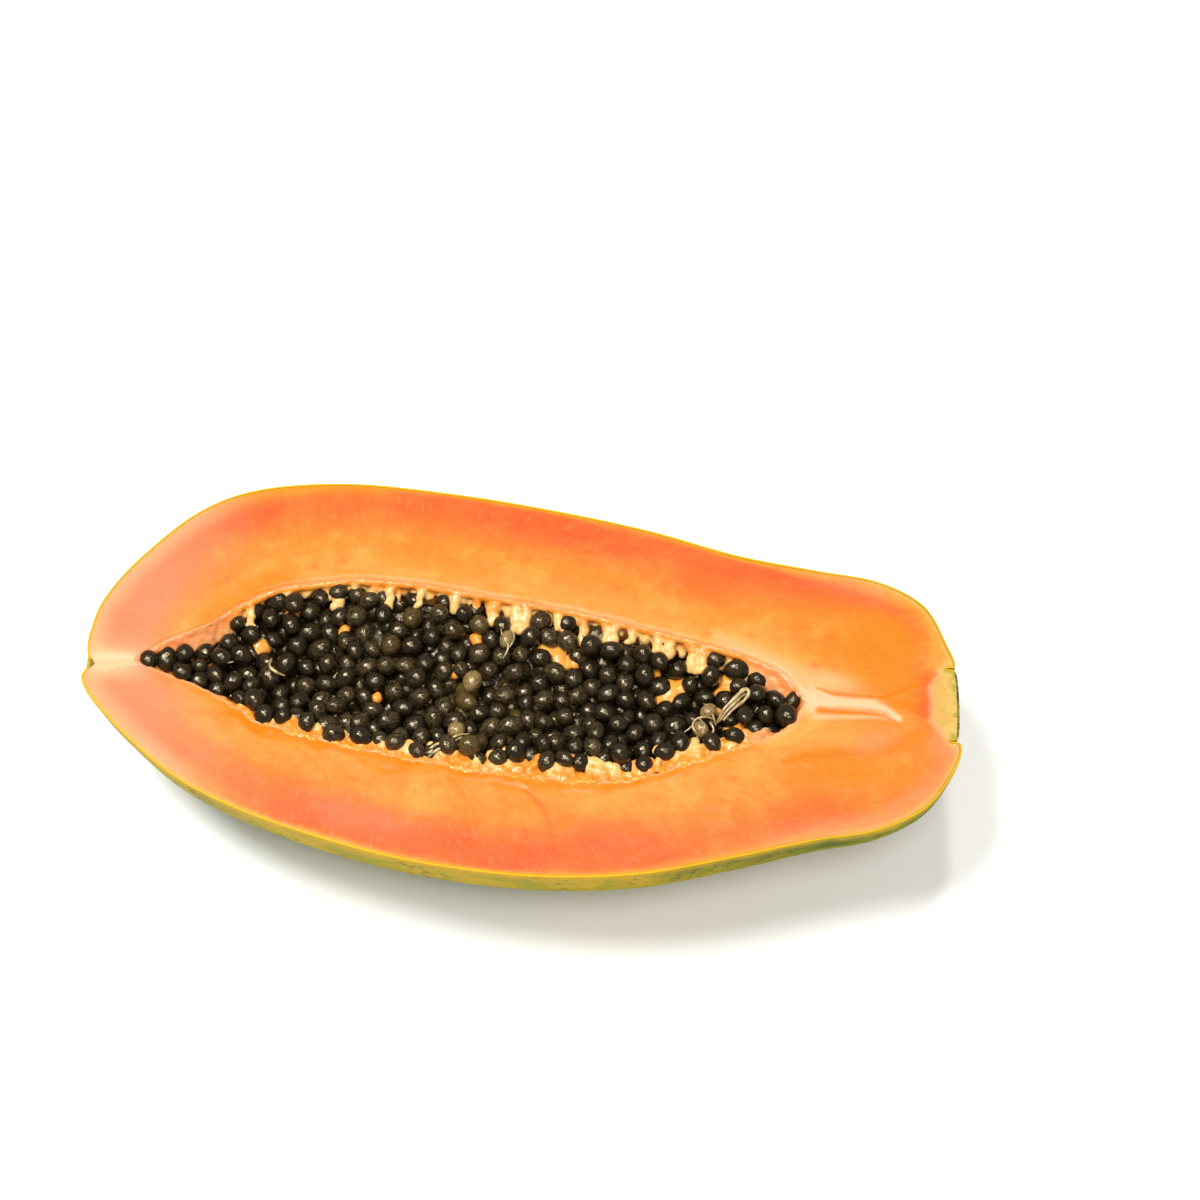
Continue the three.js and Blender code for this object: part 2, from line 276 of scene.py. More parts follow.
def even_grid(rings, rows, angle):
    """Values of t for a grid whose first and last columns divide the far and near lines by the same shares."""
    t_far, t_near = (places_along(lambda t: lines_at(rings, t)[side], crowded(rows)) for side in (0, 1))
    share = angle / np.pi
    return t_far[:, None] * (1 - share) + t_near[:, None] * share


def crowded(count):
    """Shares from 0 to 1 that lie closer together at both ends."""
    even = np.linspace(0, 1, count)
    return even - END_CROWDING * np.sin(2 * np.pi * even) / (2 * np.pi)


def places_along(line, shares):
    """Values of t, from 0 to 1, at shares of a line's length."""
    fine = np.linspace(0, 1, 4001)
    steps = np.linalg.norm(np.diff(line(fine), axis=0), axis=1)
    reached = np.concatenate([[0], np.cumsum(steps)])
    return np.interp(np.asarray(shares) * reached[-1], reached, fine)


# Meshes

def rgb(red, green, blue):
    """The colour of a surface that looks like these everyday values, 0 to 255, under this light."""
    values = [c / 255 for c in (red, green, blue)]
    linear = [c / 12.92 if c <= 0.04045 else ((c + 0.055) / 1.055) ** 2.4 for c in values]
    return tuple(c / LIGHT_LEVEL for c in linear) + (1,)


def grid_quads(rows, columns, start=0, wrap=False):
    """Quads over a grid of points that are numbered row by row."""
    across = np.arange(columns if wrap else columns - 1)
    first = start + np.arange(rows - 1)[:, None] * columns + across
    second = start + np.arange(rows - 1)[:, None] * columns + (across + 1) % columns
    return np.stack([first, second, second + columns, first + columns], axis=-1).reshape(-1, 4)


def weld(points, quads):
    """Merges points at one place, and turns quads that lose a corner by it into triangles."""
    keys = np.round(points * 1e4).astype(np.int64)
    _, first, merged = np.unique(keys, axis=0, return_index=True, return_inverse=True)
    quads = merged.reshape(-1)[quads]
    faces = []
    for quad in quads.tolist():
        corners = [c for k, c in enumerate(quad) if c != quad[k - 1]]
        if len(set(corners)) == len(corners) and len(corners) > 2:
            faces.append(corners)
    return points[first], faces, first


def add_object(name, data):
    """A new object in the scene."""
    thing = bpy.data.objects.new(name, data)
    bpy.context.scene.collection.objects.link(thing)
    return thing


def finish_mesh(mesh, values):
    """Smooth shading, and the named values at a mesh's points."""
    mesh.polygons.foreach_set("use_smooth", np.ones(len(mesh.polygons), bool))
    for key, numbers in values.items():
        kind, field = ("FLOAT_VECTOR", "vector") if np.ndim(numbers) == 2 else ("FLOAT", "value")
        attribute = mesh.attributes.new(key, kind, "POINT")
        attribute.data.foreach_set(field, np.asarray(numbers, np.float32).ravel())


def make_piece(name, points, faces, material, node, values=None):
    """A piece from points in millimetres, with named values at its points, that rides on the root body."""
    mesh = bpy.data.meshes.new(name)
    mesh.from_pydata((points * MM).tolist(), [], faces)
    finish_mesh(mesh, values or {})
    return dress(add_object(name, mesh), material, node)


def dress(piece, material, node):
    """Gives a piece its material, and says what it rides on and which node it replaces."""
    piece.data.materials.clear()
    piece.data.materials.append(material)
    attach(piece, "root")
    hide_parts(node)
    return piece


# Materials

class Nodes:
    """Adds nodes to a new material. Each call gives the socket that holds its result."""

    def __init__(self, name):
        self.material = bpy.data.materials.new(name)
        self.material.use_nodes = True
        self.tree = self.material.node_tree
        self.tree.nodes.clear()
        self.shader = self.add("ShaderNodeBsdfPrincipled")
        self.add("ShaderNodeOutputMaterial", {"Surface": self.shader.outputs["BSDF"]})
        self.colour = None

    def add(self, kind, inputs=None, **settings):
        """A new node with its settings and inputs, which are given by name or number."""
        node = self.tree.nodes.new(kind)
        for key, value in settings.items():
            setattr(node, key, value)
        for key, value in (inputs or {}).items():
            self.put(node.inputs[key], value)
        return node

    def put(self, socket, value):
        """Gives an input a value, or a link from another node."""
        if isinstance(value, bpy.types.NodeSocket):
            self.tree.links.new(value, socket)
        else:
            socket.default_value = value

    def set(self, **values):
        """Sets the shader's own inputs, such as Base_Color."""
        for key, value in values.items():
            self.put(self.shader.inputs[key.replace("_", " ")], value)

    def place(self, stretch=(1, 1, 1)):
        """Where a point of the piece is, in millimetres, stretched along the axes."""
        return self.scaled(self.add("ShaderNodeTexCoord").outputs["Object"], tuple(s / MM for s in stretch))

    def scaled(self, where, stretch):
        return self.add("ShaderNodeVectorMath", {0: where, 1: stretch}, operation="MULTIPLY").outputs[0]

    def value(self, name, output="Fac"):
        """A named value of the piece's points."""
        return self.add("ShaderNodeAttribute", attribute_name=name).outputs[output]

    def noise(self, where, size, detail=3.0, rough=0.55, warp=0.0):
        inputs = {"Vector": where, "Scale": 1 / size, "Detail": detail, "Roughness": rough, "Distortion": warp}
        return self.add("ShaderNodeTexNoise", inputs).outputs["Fac"]

    def cells(self, where, size):
        """Each place's distance from the middle of its cell."""
        return self.add("ShaderNodeTexVoronoi", {"Vector": where, "Scale": 1 / size}).outputs["Distance"]

    def pushed(self, where, size, amount):
        """A place pushed about by noise."""
        push = self.add("ShaderNodeTexNoise", {"Vector": where, "Scale": 1 / size}).outputs["Color"]
        push = self.scaled(push, (amount, amount, amount))
        return self.add("ShaderNodeVectorMath", {0: where, 1: push}, operation="ADD").outputs[0]

    def math(self, operation, first, second, clamp=False):
        node = self.add("ShaderNodeMath", {0: first, 1: second}, operation=operation, use_clamp=clamp)
        return node.outputs[0]

    def times(self, first, second):
        return self.math("MULTIPLY", first, second)

    def rise(self, value, low, high, to_low=0.0, to_high=1.0):
        """An even change from to_low, where value is low, to to_high, where it is high."""
        inputs = {"Value": value, "From Min": low, "From Max": high, "To Min": to_low, "To Max": to_high}
        return self.add("ShaderNodeMapRange", inputs, interpolation_type="SMOOTHSTEP").outputs["Result"]

    def mix(self, share, first, second, blend="MIX"):
        node = self.add("ShaderNodeMix", data_type="RGBA", blend_type=blend)
        colours = [socket for socket in node.inputs if socket.type == "RGBA"]
        for socket, value in zip([node.inputs["Factor"], *colours], (share, first, second)):
            self.put(socket, value)
        return [socket for socket in node.outputs if socket.type == "RGBA"][0]

    def lay(self, share, red, green, blue):
        """Lays a colour over the one so far, by a share."""
        self.colour = self.mix(share, self.colour, rgb(red, green, blue))

    def bump(self, height, distance, strength, onto=None):
        """A relief, on top of the one given."""
        inputs = {"Height": height, "Distance": distance * MM, "Strength": strength}
        if onto is not None:
            inputs["Normal"] = onto
        return self.add("ShaderNodeBump", inputs).outputs["Normal"]


def flesh_material():
    n = Nodes("papaya_flesh")
    here = n.place()
    cloudy = n.noise(here, 20, 3)
    streaky = n.noise(n.place((0.4, 1, 1)), 4.5, 4, 0.62)
    fibres = n.noise(n.scaled(n.value("flow", "Vector"), (0.8, 0.16, 1)), 1, 3, 0.6, 0.3)
    mottled = n.noise(here, 2.2, 4, 0.62)
    blotchy = n.noise(n.place((0.8, 0.5, 1)), 5, 3, 0.5, 0.6)
    coral = n.value("coral")
    ragged = n.math("ADD", coral, n.rise(fibres, 0.25, 0.75, -0.14, 0.14), True)
    n.colour = n.mix(n.rise(cloudy, 0.38, 0.62), rgb(252, 152, 56), rgb(254, 182, 96))
    n.lay(n.rise(streaky, 0.4, 0.72, 0.0, 0.6), 251, 142, 44)
    n.lay(n.rise(blotchy, 0.46, 0.6, 0.0, 0.5), 252, 146, 48)
    n.lay(n.value("pale"), 254, 190, 114)
    n.lay(n.times(ragged, n.rise(coral, 0.02, 0.25)), 250, 101, 54)
    n.lay(n.rise(fibres, 0.5, 0.76, 0.0, 0.34), 255, 196, 130)
    n.lay(n.value("deep"), 252, 150, 12)
    n.lay(n.value("line"), 252, 178, 44)
    # Brown that is painted shade down the cavity's wall, round the seeds at its right tip and in a groove, and
    # is also the real colour of the dark flecks, streaks and stripes
    n.lay(n.value("shade"), 186, 92, 16)
    n.lay(n.rise(mottled, 0.34, 0.7, 0.0, 0.2), 247, 136, 52)
    n.colour = n.mix(1.0, n.colour, FLESH_TINT, "MULTIPLY")
    n.lay(n.value("pink"), 248, 136, 98)
    n.lay(n.value("cream"), 247, 194, 146)
    n.lay(n.value("yellow"), 224, 186, 98)
    n.lay(n.times(n.value("green"), n.rise(n.noise(here, 2.4, 3), 0.46, 0.62)), 176, 166, 66)
    flecks = n.times(n.rise(n.cells(here, 7), 0.05, 0.12, 1.0, 0.0), n.rise(n.noise(here, 14), 0.48, 0.6))
    n.lay(n.times(flecks, 0.4), 228, 134, 30)
    relief = n.bump(n.rise(n.cells(here, 0.9), 0.1, 0.45), 0.05, 0.4)
    relief = n.bump(mottled, 0.3, 0.5, relief)
    relief = n.bump(fibres, 0.3, 0.35, relief)
    wet = n.value("wet")
    damp = n.math("SUBTRACT", n.rise(mottled, 0.3, 0.7, 0.36, 0.52), n.times(wet, 0.2))
    n.set(Base_Color=n.colour, Roughness=damp, Normal=relief, Specular_IOR_Level=0.12)
    n.set(Subsurface_Weight=0.5, Subsurface_Radius=(1.0, 0.5, 0.25), Subsurface_Scale=0.004)
    n.set(Coat_Weight=n.rise(wet, 0.1, 0.9, 0.02, 0.4), Coat_Roughness=0.18)
    return n.material


def placenta_material():
    n = Nodes("papaya_placenta")
    here = n.place()
    grainy = n.noise(here, 1.3, 3)
    out = n.math("ADD", n.value("tip"), n.rise(n.noise(here, 5, 2), 0.3, 0.7, -0.3, 0.3), True)
    n.colour = n.mix(n.rise(out, 0.0, 0.75), rgb(252, 146, 36), rgb(255, 206, 126))
    n.lay(n.value("tone"), 247, 160, 26)
    n.lay(n.times(n.value("blush"), 0.75), 246, 150, 96)
    n.lay(n.rise(grainy, 0.4, 0.7, 0.0, 0.4), 251, 160, 76)
    relief = n.bump(grainy, 0.3, 0.5)
    n.set(Base_Color=n.colour, Roughness=n.rise(grainy, 0.3, 0.7, 0.3, 0.45), Normal=relief)
    n.set(Subsurface_Weight=0.45, Subsurface_Radius=(1.0, 0.55, 0.3), Subsurface_Scale=0.002)
    n.set(Specular_IOR_Level=0.25, Coat_Weight=0.25, Coat_Roughness=0.14)
    return n.material


def skin_material():
    n = Nodes("papaya_skin")
    here = n.place()
    broad = n.noise(n.place((0.5, 1, 1)), 40, 3, 0.55, 0.4)
    patchy = n.noise(n.place((0.7, 1, 1)), 12, 4, 0.6, 0.5)
    fine = n.noise(here, 2.4, 4, 0.65, 0.6)
    clusters = n.rise(n.noise(here, 22, 3, 0.6), 0.42, 0.58)
    spots = n.rise(n.cells(n.pushed(here, 3, 1.2), 3.4), 0.14, 0.26, 1.0, 0.0)
    dots = n.rise(n.cells(here, 9), 0.03, 0.06, 1.0, 0.0)
    ripe = broad
    for field, share in ((n.value("crest"), 0.05), (patchy, 0.4), (n.value("sunny"), 0.2)):
        ripe = n.math("ADD", ripe, n.times(field, share))
    n.colour = n.mix(n.rise(ripe, 0.56, 0.86), rgb(92, 114, 4), rgb(214, 178, 10))
    n.lay(n.rise(patchy, 0.4, 0.64, 0.0, 0.6), 140, 154, 8)
    n.lay(n.times(n.times(n.rise(fine, 0.55, 0.6), clusters), 0.62), 60, 76, 4)
    n.lay(n.times(n.times(spots, clusters), 0.7), 52, 68, 6)
    n.lay(n.times(dots, 0.6), 74, 54, 22)
    n.lay(n.value("edge"), 242, 188, 34)
    woody = n.mix(n.rise(n.noise(here, 1.6, 4, 0.6), 0.42, 0.6), rgb(54, 52, 22), rgb(150, 134, 70))
    n.colour = n.mix(n.value("scar"), n.colour, woody)
    relief = n.bump(n.noise(here, 0.8, 2), 0.05, 0.4)
    relief = n.bump(patchy, 0.5, 0.35, relief)
    n.set(Base_Color=n.colour, Roughness=n.rise(patchy, 0.3, 0.7, 0.24, 0.36), Normal=relief)
    n.set(Specular_IOR_Level=0.0, IOR=1.0, Coat_Weight=0.16, Coat_Roughness=0.24, Coat_Normal=relief)
    return n.material


def seed_material():
    n = Nodes("papaya_seed")
    grain = n.value("grain", "Vector")
    tone = n.value("tone")
    wrinkles = n.noise(grain, 0.34, 4, 0.6, 1.6)
    ridges = n.cells(grain, 0.4)
    n.colour = n.mix(n.rise(wrinkles, 0.34, 0.68), rgb(18, 14, 8), rgb(84, 68, 42))
    n.lay(n.rise(tone, 0.0, 0.7, 0.75, 0.0), 13, 9, 5)
    n.lay(n.rise(tone, 0.82, 1.0, 0.0, 0.5), 104, 84, 38)
    n.lay(n.times(n.value("light"), n.rise(wrinkles, 0.3, 0.6, 0.5, 1.0)), 150, 124, 78)
    # Darker in the hollows between the ridges, so the ridges show as lighter lines: painted shade.
    n.lay(n.rise(ridges, 0.08, 0.42, 0.5, 0.0), 14, 10, 8)
    relief = n.bump(ridges, 0.3, 0.2)
    relief = n.bump(n.noise(grain, 0.26, 3, 0.6), 0.35, 0.5, relief)
    n.set(Base_Color=n.colour, Roughness=0.09, Normal=relief)
    n.set(Specular_IOR_Level=0.55, Specular_Tint=(1.0, 0.82, 0.56, 1.0))
    return n.material


def thread_material():
    n = Nodes("papaya_thread")
    here = n.place()
    dusky = n.rise(n.noise(here, 2.5, 3), 0.35, 0.65)
    n.set(Base_Color=n.mix(dusky, rgb(214, 188, 124), rgb(146, 116, 62)), Roughness=0.35)
    n.set(Normal=n.bump(n.noise(here, 0.5, 2), 0.1, 0.5), Coat_Weight=0.4, Coat_Roughness=0.12)
    n.set(Subsurface_Weight=0.4, Subsurface_Radius=(1.0, 0.8, 0.4), Subsurface_Scale=0.0012)
    return n.material


def floor_material():
    n = Nodes("pale_floor")
    n.set(Base_Color=(0.9, 0.9, 0.9, 1), Roughness=0.9)
    return n.material


# The fruit's surfaces

def fruit_surface(t, angle):
    """A grid of points on the outside, each row from the far edge down and up to the near one."""
    far, near, depth = grid_lines(FRUIT_RINGS, t)
    rib = RIB_HEIGHT * np.sin(np.pi * t) * (RIB_START + (1 - RIB_START) * t)
    swell = 1 + rib * np.sin(angle) * np.cos(RIB_COUNT * (angle - RIB_TURN))
    flat = (far + near) / 2 + (far - near) / 2 * (np.cos(angle) * swell)[:, :, None]
    height = CUT_HEIGHT - depth * np.sin(angle) * swell
    return np.dstack([flat, np.maximum(height, 0)])


def cavity_surface(t, angle):
    """A grid of points on the wall of the cavity, each row from the far edge down and up to the near one."""
    far, near, depth = grid_lines(CAVITY_RINGS, t)
    flat = (far + near) / 2 + (far - near) / 2 * np.cos(angle)[None, :, None]
    return np.dstack([flat, CUT_HEIGHT - depth * np.sin(angle)])


def grid_normals(points, outward_ends):
    """Unit normals of a grid, pointing out of it. Edge columns stay level, and end rows point as given."""
    along = np.gradient(points, axis=0)
    around = np.gradient(points, axis=1)
    normals = np.cross(along, around)
    normals[:, [0, -1], 2] = 0
    length = np.linalg.norm(normals, axis=2, keepdims=True)
    normals = normals / np.maximum(length, 1e-9)
    centre = points.mean(axis=(0, 1))
    if np.sum(normals * (points - centre)) < 0:
        normals = -normals
    normals[0], normals[-1] = outward_ends
    return normals


def closed_loop(grid):
    """The edge of a grid: its first column, and its last column back."""
    return np.concatenate([grid[:, 0], grid[::-1, -1]])


def skin_values(surface, angle, rim):
    """Where each colour of the skin lies: on its outside, again on its inside, and on its rim."""
    x, y, depth = surface[:, :, 0], surface[:, :, 1], CUT_HEIGHT - surface[:, :, 2]
    flat = surface.reshape(-1, 3)
    wavy = (noise_at(flat, 6, 5) + 0.6 * noise_at(flat, 2, 25)).reshape(x.shape)
    blossom_end, stem_end = surface[0, 0], surface[-1, 0]
    stem_scar = smooth(*STEM_SCAR, np.linalg.norm(surface - stem_end, axis=2))
    blossom_scar = 0.8 * smooth(*BLOSSOM_SCAR, np.linalg.norm(surface - blossom_end, axis=2))
    outside = {
        "crest": np.cos(RIB_COUNT * (angle - RIB_TURN)) * np.sin(angle) + 0 * x,
        "edge": 0.8 * smooth(YELLOW_EDGE, 0, depth + 1.1 * wavy),
        "scar": np.maximum(stem_scar, blossom_scar),
        "sunny": smooth(60, 10, x) * smooth(10, -20, y) * smooth(40, 10, depth),
    }
    even = np.ones(len(rim))
    rim_scar = 0.6 * smooth(*STEM_SCAR, np.linalg.norm(rim - stem_end, axis=1))
    on_rim = {"crest": 0 * even, "edge": 0.85 * even, "scar": rim_scar, "sunny": even}
    return {key: np.concatenate([field.ravel(), field.ravel(), on_rim[key]]) for key, field in outside.items()}


def skin_piece(surface, normals, angle, material):
    """The skin, with its colours, its inside and the rim that joins both along the cut."""
    inner = surface - normals * PEEL
    rows, columns = surface.shape[:2]
    rim = np.concatenate([closed_loop(surface), closed_loop(inner)])
    quads = [
        grid_quads(rows, columns),
        grid_quads(rows, columns, rows * columns)[:, ::-1],
        grid_quads(2, len(rim) // 2, 2 * rows * columns)[:, ::-1],
    ]
    points = np.concatenate([surface.reshape(-1, 3), inner.reshape(-1, 3), rim])
    points, faces, first = weld(points, np.concatenate(quads))
    values = {key: numbers[first] for key, numbers in skin_values(surface, angle, rim).items()}
    return make_piece("papaya_skin", points, faces, material, "fruit", values)


def nearest(points, targets):
    """For each point, the number of the nearest target and its distance."""
    tree = KDTree(len(targets))
    for index, place in enumerate(targets.tolist()):
        tree.insert(place, index)
    tree.balance()
    found = [tree.find(place)[1:] for place in points.tolist()]
    numbers, gaps = zip(*found)
    return np.array(numbers), np.array(gaps)


def gap_to(points, line):
    """Each point's distance from a line of points, seen from above."""
    level = (1, 1, 0)
    return nearest(points * level, line * level)[1]


def finer(loop, times=4):
    """A closed loop of points with more points between them."""
    shares = np.arange(times)[:, None, None] / times
    return (loop + (np.roll(loop, -1, axis=0) - loop) * shares).transpose(1, 0, 2).reshape(-1, loop.shape[1])


def stroke(points, path, width):
    """1 on a path, falling to 0 at about width from it. Path points are x, y and share of the width."""
    best = np.zeros(len(points))
    path = np.asarray(path, float)
    for start, end in zip(path[:-1], path[1:]):
        line = end[:2] - start[:2]
        share = np.clip(((points[:, :2] - start[:2]) @ line) / (line @ line), 0, 1)
        gap = np.linalg.norm(points[:, :2] - start[:2] - share[:, None] * line, axis=1)
        wide = width * (start[2] + (end[2] - start[2]) * share)
        best = np.maximum(best, np.exp(-((gap / np.maximum(wide, 0.01)) ** 2)))
    return best


def patch(points, centre, size, turn=0):
    """1 at a centre, falling to 0 at about size from it along and across its turn."""
    offset = points[:, :2] - centre
    along = offset[:, 0] * math.cos(turn) + offset[:, 1] * math.sin(turn)
    across = offset[:, 1] * math.cos(turn) - offset[:, 0] * math.sin(turn)
    return np.exp(-((along / size[0]) ** 2) - (across / size[1]) ** 2)


# Lines on the cut face, as x, y and share of the line's width
STRIP = [(86.5, 0.6, 0.5), (90, -0.6, 1), (98, -0.9, 1), (105, -1.2, 1), (109, -2.6, 0.6), (113, -5.2, 0.4)]
STREAK = [(88, 3.4, 0.4), (93.4, 1.8, 1), (99, 1.5, 0.8), (108, 1.5, 0.7), (115, 4.7, 0.8), (124, 9.8, 0.6)]
WEDGE = [(89.2, -3.6, 1.3), (94, -3.9, 0.8), (102, -4.1, 0.5), (108, -4.6, 0.4), (112.4, -6.6, 0.3)]
LOWER_LINE = [(87.6, -6.2, 0.8), (98.8, -5.4, 1), (107.4, -4.9, 1), (113, -6, 0.8)]
FAR_TIP = [(58, 18.5, 0.6), (71.6, 13, 1), (81.4, 8.4, 1), (87.4, 2.8, 1)]
NEAR_TIP = [(74, -17.4, 0.6), (80, -12.6, 1), (84.4, -9.2, 1), (88.4, -7.4, 1)]
STRIPE = [(79, -21, 0.5), (85, -19, 1), (94, -18, 1.2), (102, -17.4, 0.5)]
SLANT = [(106.6, -17, 0.6), (115, -12.4, 1), (123.6, -7.8, 0.7)]
BLOSSOM_LINE = [(-129.5, 0.6, 0.8), (-124, 1.4, 1), (-118, 2, 0.8)]
BLOSSOM_STREAK = [(-117, -1, 0.6), (-111, -2.2, 1), (-106, -4.4, 0.7)]
GROOVE = [(3, -34, 0.6), (8, -38.5, 1), (10.5, -43.5, 1), (11.5, -47, 0.4)]
SIDE_GROOVES = [
    [(-7, -32, 0.4), (-3, -36, 0.7), (-1, -40, 0.4)],
    [(-20, -31, 0.4), (-15, -36, 0.6), (-13, -41, 0.3)],
    [(-66, -24, 0.4), (-60, -28, 0.7), (-56, -33, 0.4)],
]
# Lines that add to a colour of the cut face: the colour, how strongly, the line and its width
LINE_MARKS = [
    ("pale", 0.95, FAR_TIP, 3.6), ("pale", 0.8, NEAR_TIP, 1.7), ("cream", 0.4, FAR_TIP, 2.4),
    ("cream", 1.2, STRIP, 1.8), ("cream", 0.6, LOWER_LINE, 0.9), ("cream", 0.4, BLOSSOM_LINE, 2.6),
    ("deep", 1.2, STRIPE, 1.7), ("deep", 1, SLANT, 2.6), ("deep", 0.8, BLOSSOM_STREAK, 0.8),
    # The shade along GROOVE is painted shade in that groove.
    ("deep", 0.8, STREAK, 0.8), ("deep", 1, WEDGE, 0.9), ("shade", 0.4, GROOVE, 1.1),
    ("shade", 0.17, STRIPE, 0.8), ("shade", 0.22, STREAK, 0.5), ("shade", 0.14, WEDGE, 0.9),
# The deep orange along SIDE_GROOVES is painted shade in those grooves.
] + [("deep", 0.7, path, 1.1) for path in SIDE_GROOVES]
# The same for soft patches: the colour, how strongly, the centre, the size and the turn
PATCH_MARKS = [
    ("coral", 0.3, (22, -44), (14, 4), 0), ("coral", 0.5, (122, 8.4), (4, 2), 0.5),
    ("coral", 0.3, (125, -13.5), (3, 3), 0), ("pink", 0.4, (106, -13), (8, 4), 0.3),
    ("pink", 0.4, (98, 38), (14, 4), -0.2), ("pale", 0.6, (94, 5.4), (9, 2.6), -0.15),
    ("pale", 0.4, (96, -8), (10, 2.4), 0), ("pale", 0.8, (96, -12.6), (14, 3.4), 0),
    ("pale", 0.9, (87, -1), (3, 4), 0), ("pale", 0.9, (-121, 0.6), (9, 4), 0),
    ("cream", 0.9, (88, -0.8), (5, 4.4), 0), ("cream", 0.5, (93, 6), (8, 2.6), -0.3),
    ("cream", 0.8, (-122, 1), (9, 5), 0), ("deep", 0.4, (104, 17), (12, 6), 0.2),
]
FLECKS = [  # small dark flecks, as x and y
    (-66, 35), (-57, 38), (55, 19.5), (85, 37.3), (27, 33), (-25, 40), (-48, -33), (64, -27), (5, 42),
    (86.7, 10.8), (88, 10.4), (91.4, 20.5), (67.6, 19.9), (76.4, -36.5), (-92, 30), (-20, -44), (36, -43),
]
# Where the pale flesh of the stem stub begins, as y and x
STUB_EDGE = [(-13, 131), (-10.9, 128.4), (-5.9, 123.8), (-1.2, 124.4), (4.6, 123.6), (10.5, 125.6), (13, 129)]


def wander_at(points):
    """How far the edges of the colours stray at each point."""
    return 3.4 * rough_at(points, 26, 3) + 1.6 * rough_at(points, 7, 4)


class Face:
    """Points of the cut face, and what its colours are worked out from at each of them."""

    def __init__(self, points, from_skin, from_cavity):
        self.points, self.from_skin, self.from_cavity = points, from_skin, from_cavity
        self.x, self.y = points[:, 0], points[:, 1]
        x, y = self.x, self.y
        self.far = y > 0
        self.wander = wander_at(points)
        self.blotch = 0.5 + 0.5 * rough_at(points, 13, 8)
        self.ragged = 0.5 + 0.5 * rough_at(points * (0.45, 1, 1), 3.2, 9)
        self.from_stub = x - np.interp(y, *zip(*STUB_EDGE)) + 0.9 * noise_at(points, 2.4, 18)
        self.stub = smooth(-1.8, 1.0, self.from_stub) * smooth(13.6, 12.4, np.abs(y))
        aside = np.abs(y + 1 - 0.04 * (x - 110)) - 0.26 * (x - 107)
        self.fan = smooth(0.6, -0.8, aside) * smooth(107, 109, x) * (1 - self.stub)
        self.far_left = smooth(-104, -84, x) * smooth(-38, -50, x) * self.far
        self.top_margin = self.far_left * smooth(4.5, 1.5, from_skin + 0.4 * self.wander)
        self.wet = near_zone(points, from_cavity, self.wander)


def coral_on(face):
    """The red band under the skin, and the red by the stem."""
    points, x, from_skin, wander = face.points, face.x, face.from_skin, face.wander
    far_strength = smooth(-118, -82, x) * smooth(134, 90, x)
    near_strength = smooth(-118, -44, x) * smooth(132, 84, x)
    strength = np.where(face.far, far_strength, near_strength) * 0.9 + 0.16
    margin = 0.6 + 4 * smooth(62, 112, x)
    band = smooth(margin - 1, margin + 2.6, from_skin + 0.35 * wander) * smooth(21, 6, from_skin + wander)
    coral = band * strength * (0.5 + 0.45 * face.blotch + 0.3 * face.ragged)
    coral += 1.2 * face.fan * smooth(111, 119, x) + patch(points, (120.6, -0.8), (3.2, 6.4)) * (1 - face.stub)
    coral += 0.9 * stroke(points, SLANT, 1.8)
    coral *= 1 - 0.8 * patch(points, (101, -13), (13, 3.2))
    arc = smooth(3.5, 7.5, from_skin + 0.5 * wander) * smooth(17, 8.5, from_skin + 0.7 * wander)
    arc *= smooth(-62, -84, x) * smooth(-128, -112, x)
    coral += np.where(face.far, 0.5, 0.34) * arc * (0.5 + 0.6 * face.blotch)
    coral *= (1 - 0.28 * face.far_left) * (1 - 0.7 * face.top_margin)
    return coral * (1 - 0.25 * smooth(30, 50, x) * (1 - face.far) - 0.3 * patch(points, (37, 39), (14, 7)))


def pink_on(face):
    """The pink of the blossom end, and of the margin at the stem end."""
    points, x, from_skin = face.points, face.x, face.from_skin
    pink = smooth(-78, -112, x) * smooth(0.4, 3, from_skin) * smooth(30, 14, from_skin)
    pink *= 0.55 + 0.5 * face.blotch
    pink += 0.7 * patch(points, (-45, -45), (17, 5), -0.2) * face.blotch
    pink += 0.6 * patch(points, (-84, -33), (14, 6), -0.55) * face.blotch
    margin = smooth(9, 3, from_skin + 0.5 * face.wander)
    return pink + 0.5 * smooth(64, 96, x) * margin * smooth(10, -10, face.y)


def pale_on(face):
    """The paler flesh round the cavity, and just under the skin at both ends."""
    x, from_cavity, wander = face.x, face.from_cavity, face.wander
    pale = smooth(15, 1, from_cavity + wander) * 0.5 * smooth(-122, -100, x) * (0.6 + 0.6 * face.blotch)
    pale += 0.6 * smooth(5.5, 2, face.from_skin + 0.4 * wander) * (smooth(-60, -90, x) + smooth(40, 75, x))
    return pale + 0.4 * face.ragged * smooth(16, 4, from_cavity) * smooth(-40, 20, x) * face.far


def cream_on(face):
    """The cream lips along the cavity, the margin of the blossom end and the edge of the stem stub."""
    x, from_cavity, from_stub = face.x, face.from_cavity, face.from_stub
    broken = smooth(-0.55, 0.35, noise_at(face.points, 9, 10))
    lip = np.exp(-(((from_cavity - 1.1) / 0.8) ** 2)) * face.far * smooth(-82, -60, x)
    outer = from_cavity - 3.2 - 0.4 * noise_at(face.points, 8, 11)
    outer_lip = np.exp(-((outer / 0.7) ** 2)) * (1 - face.far) * smooth(-70, -30, x)
    cream = (0.336 * lip + 0.28 * outer_lip) * broken + 0.4 * smooth(66, 76, x) * smooth(3, 0.5, from_cavity)
    margin = smooth(-84, -108, x) * smooth(8, 2, face.from_skin + 0.5 * face.wander)
    cream += 0.44 * margin * (0.6 + 0.5 * face.blotch)
    stub_rim = smooth(-3.4, -0.8, from_stub) * smooth(0.6, -0.8, from_stub)
    return cream + 0.5 * stub_rim * smooth(17, 13, np.abs(face.y))


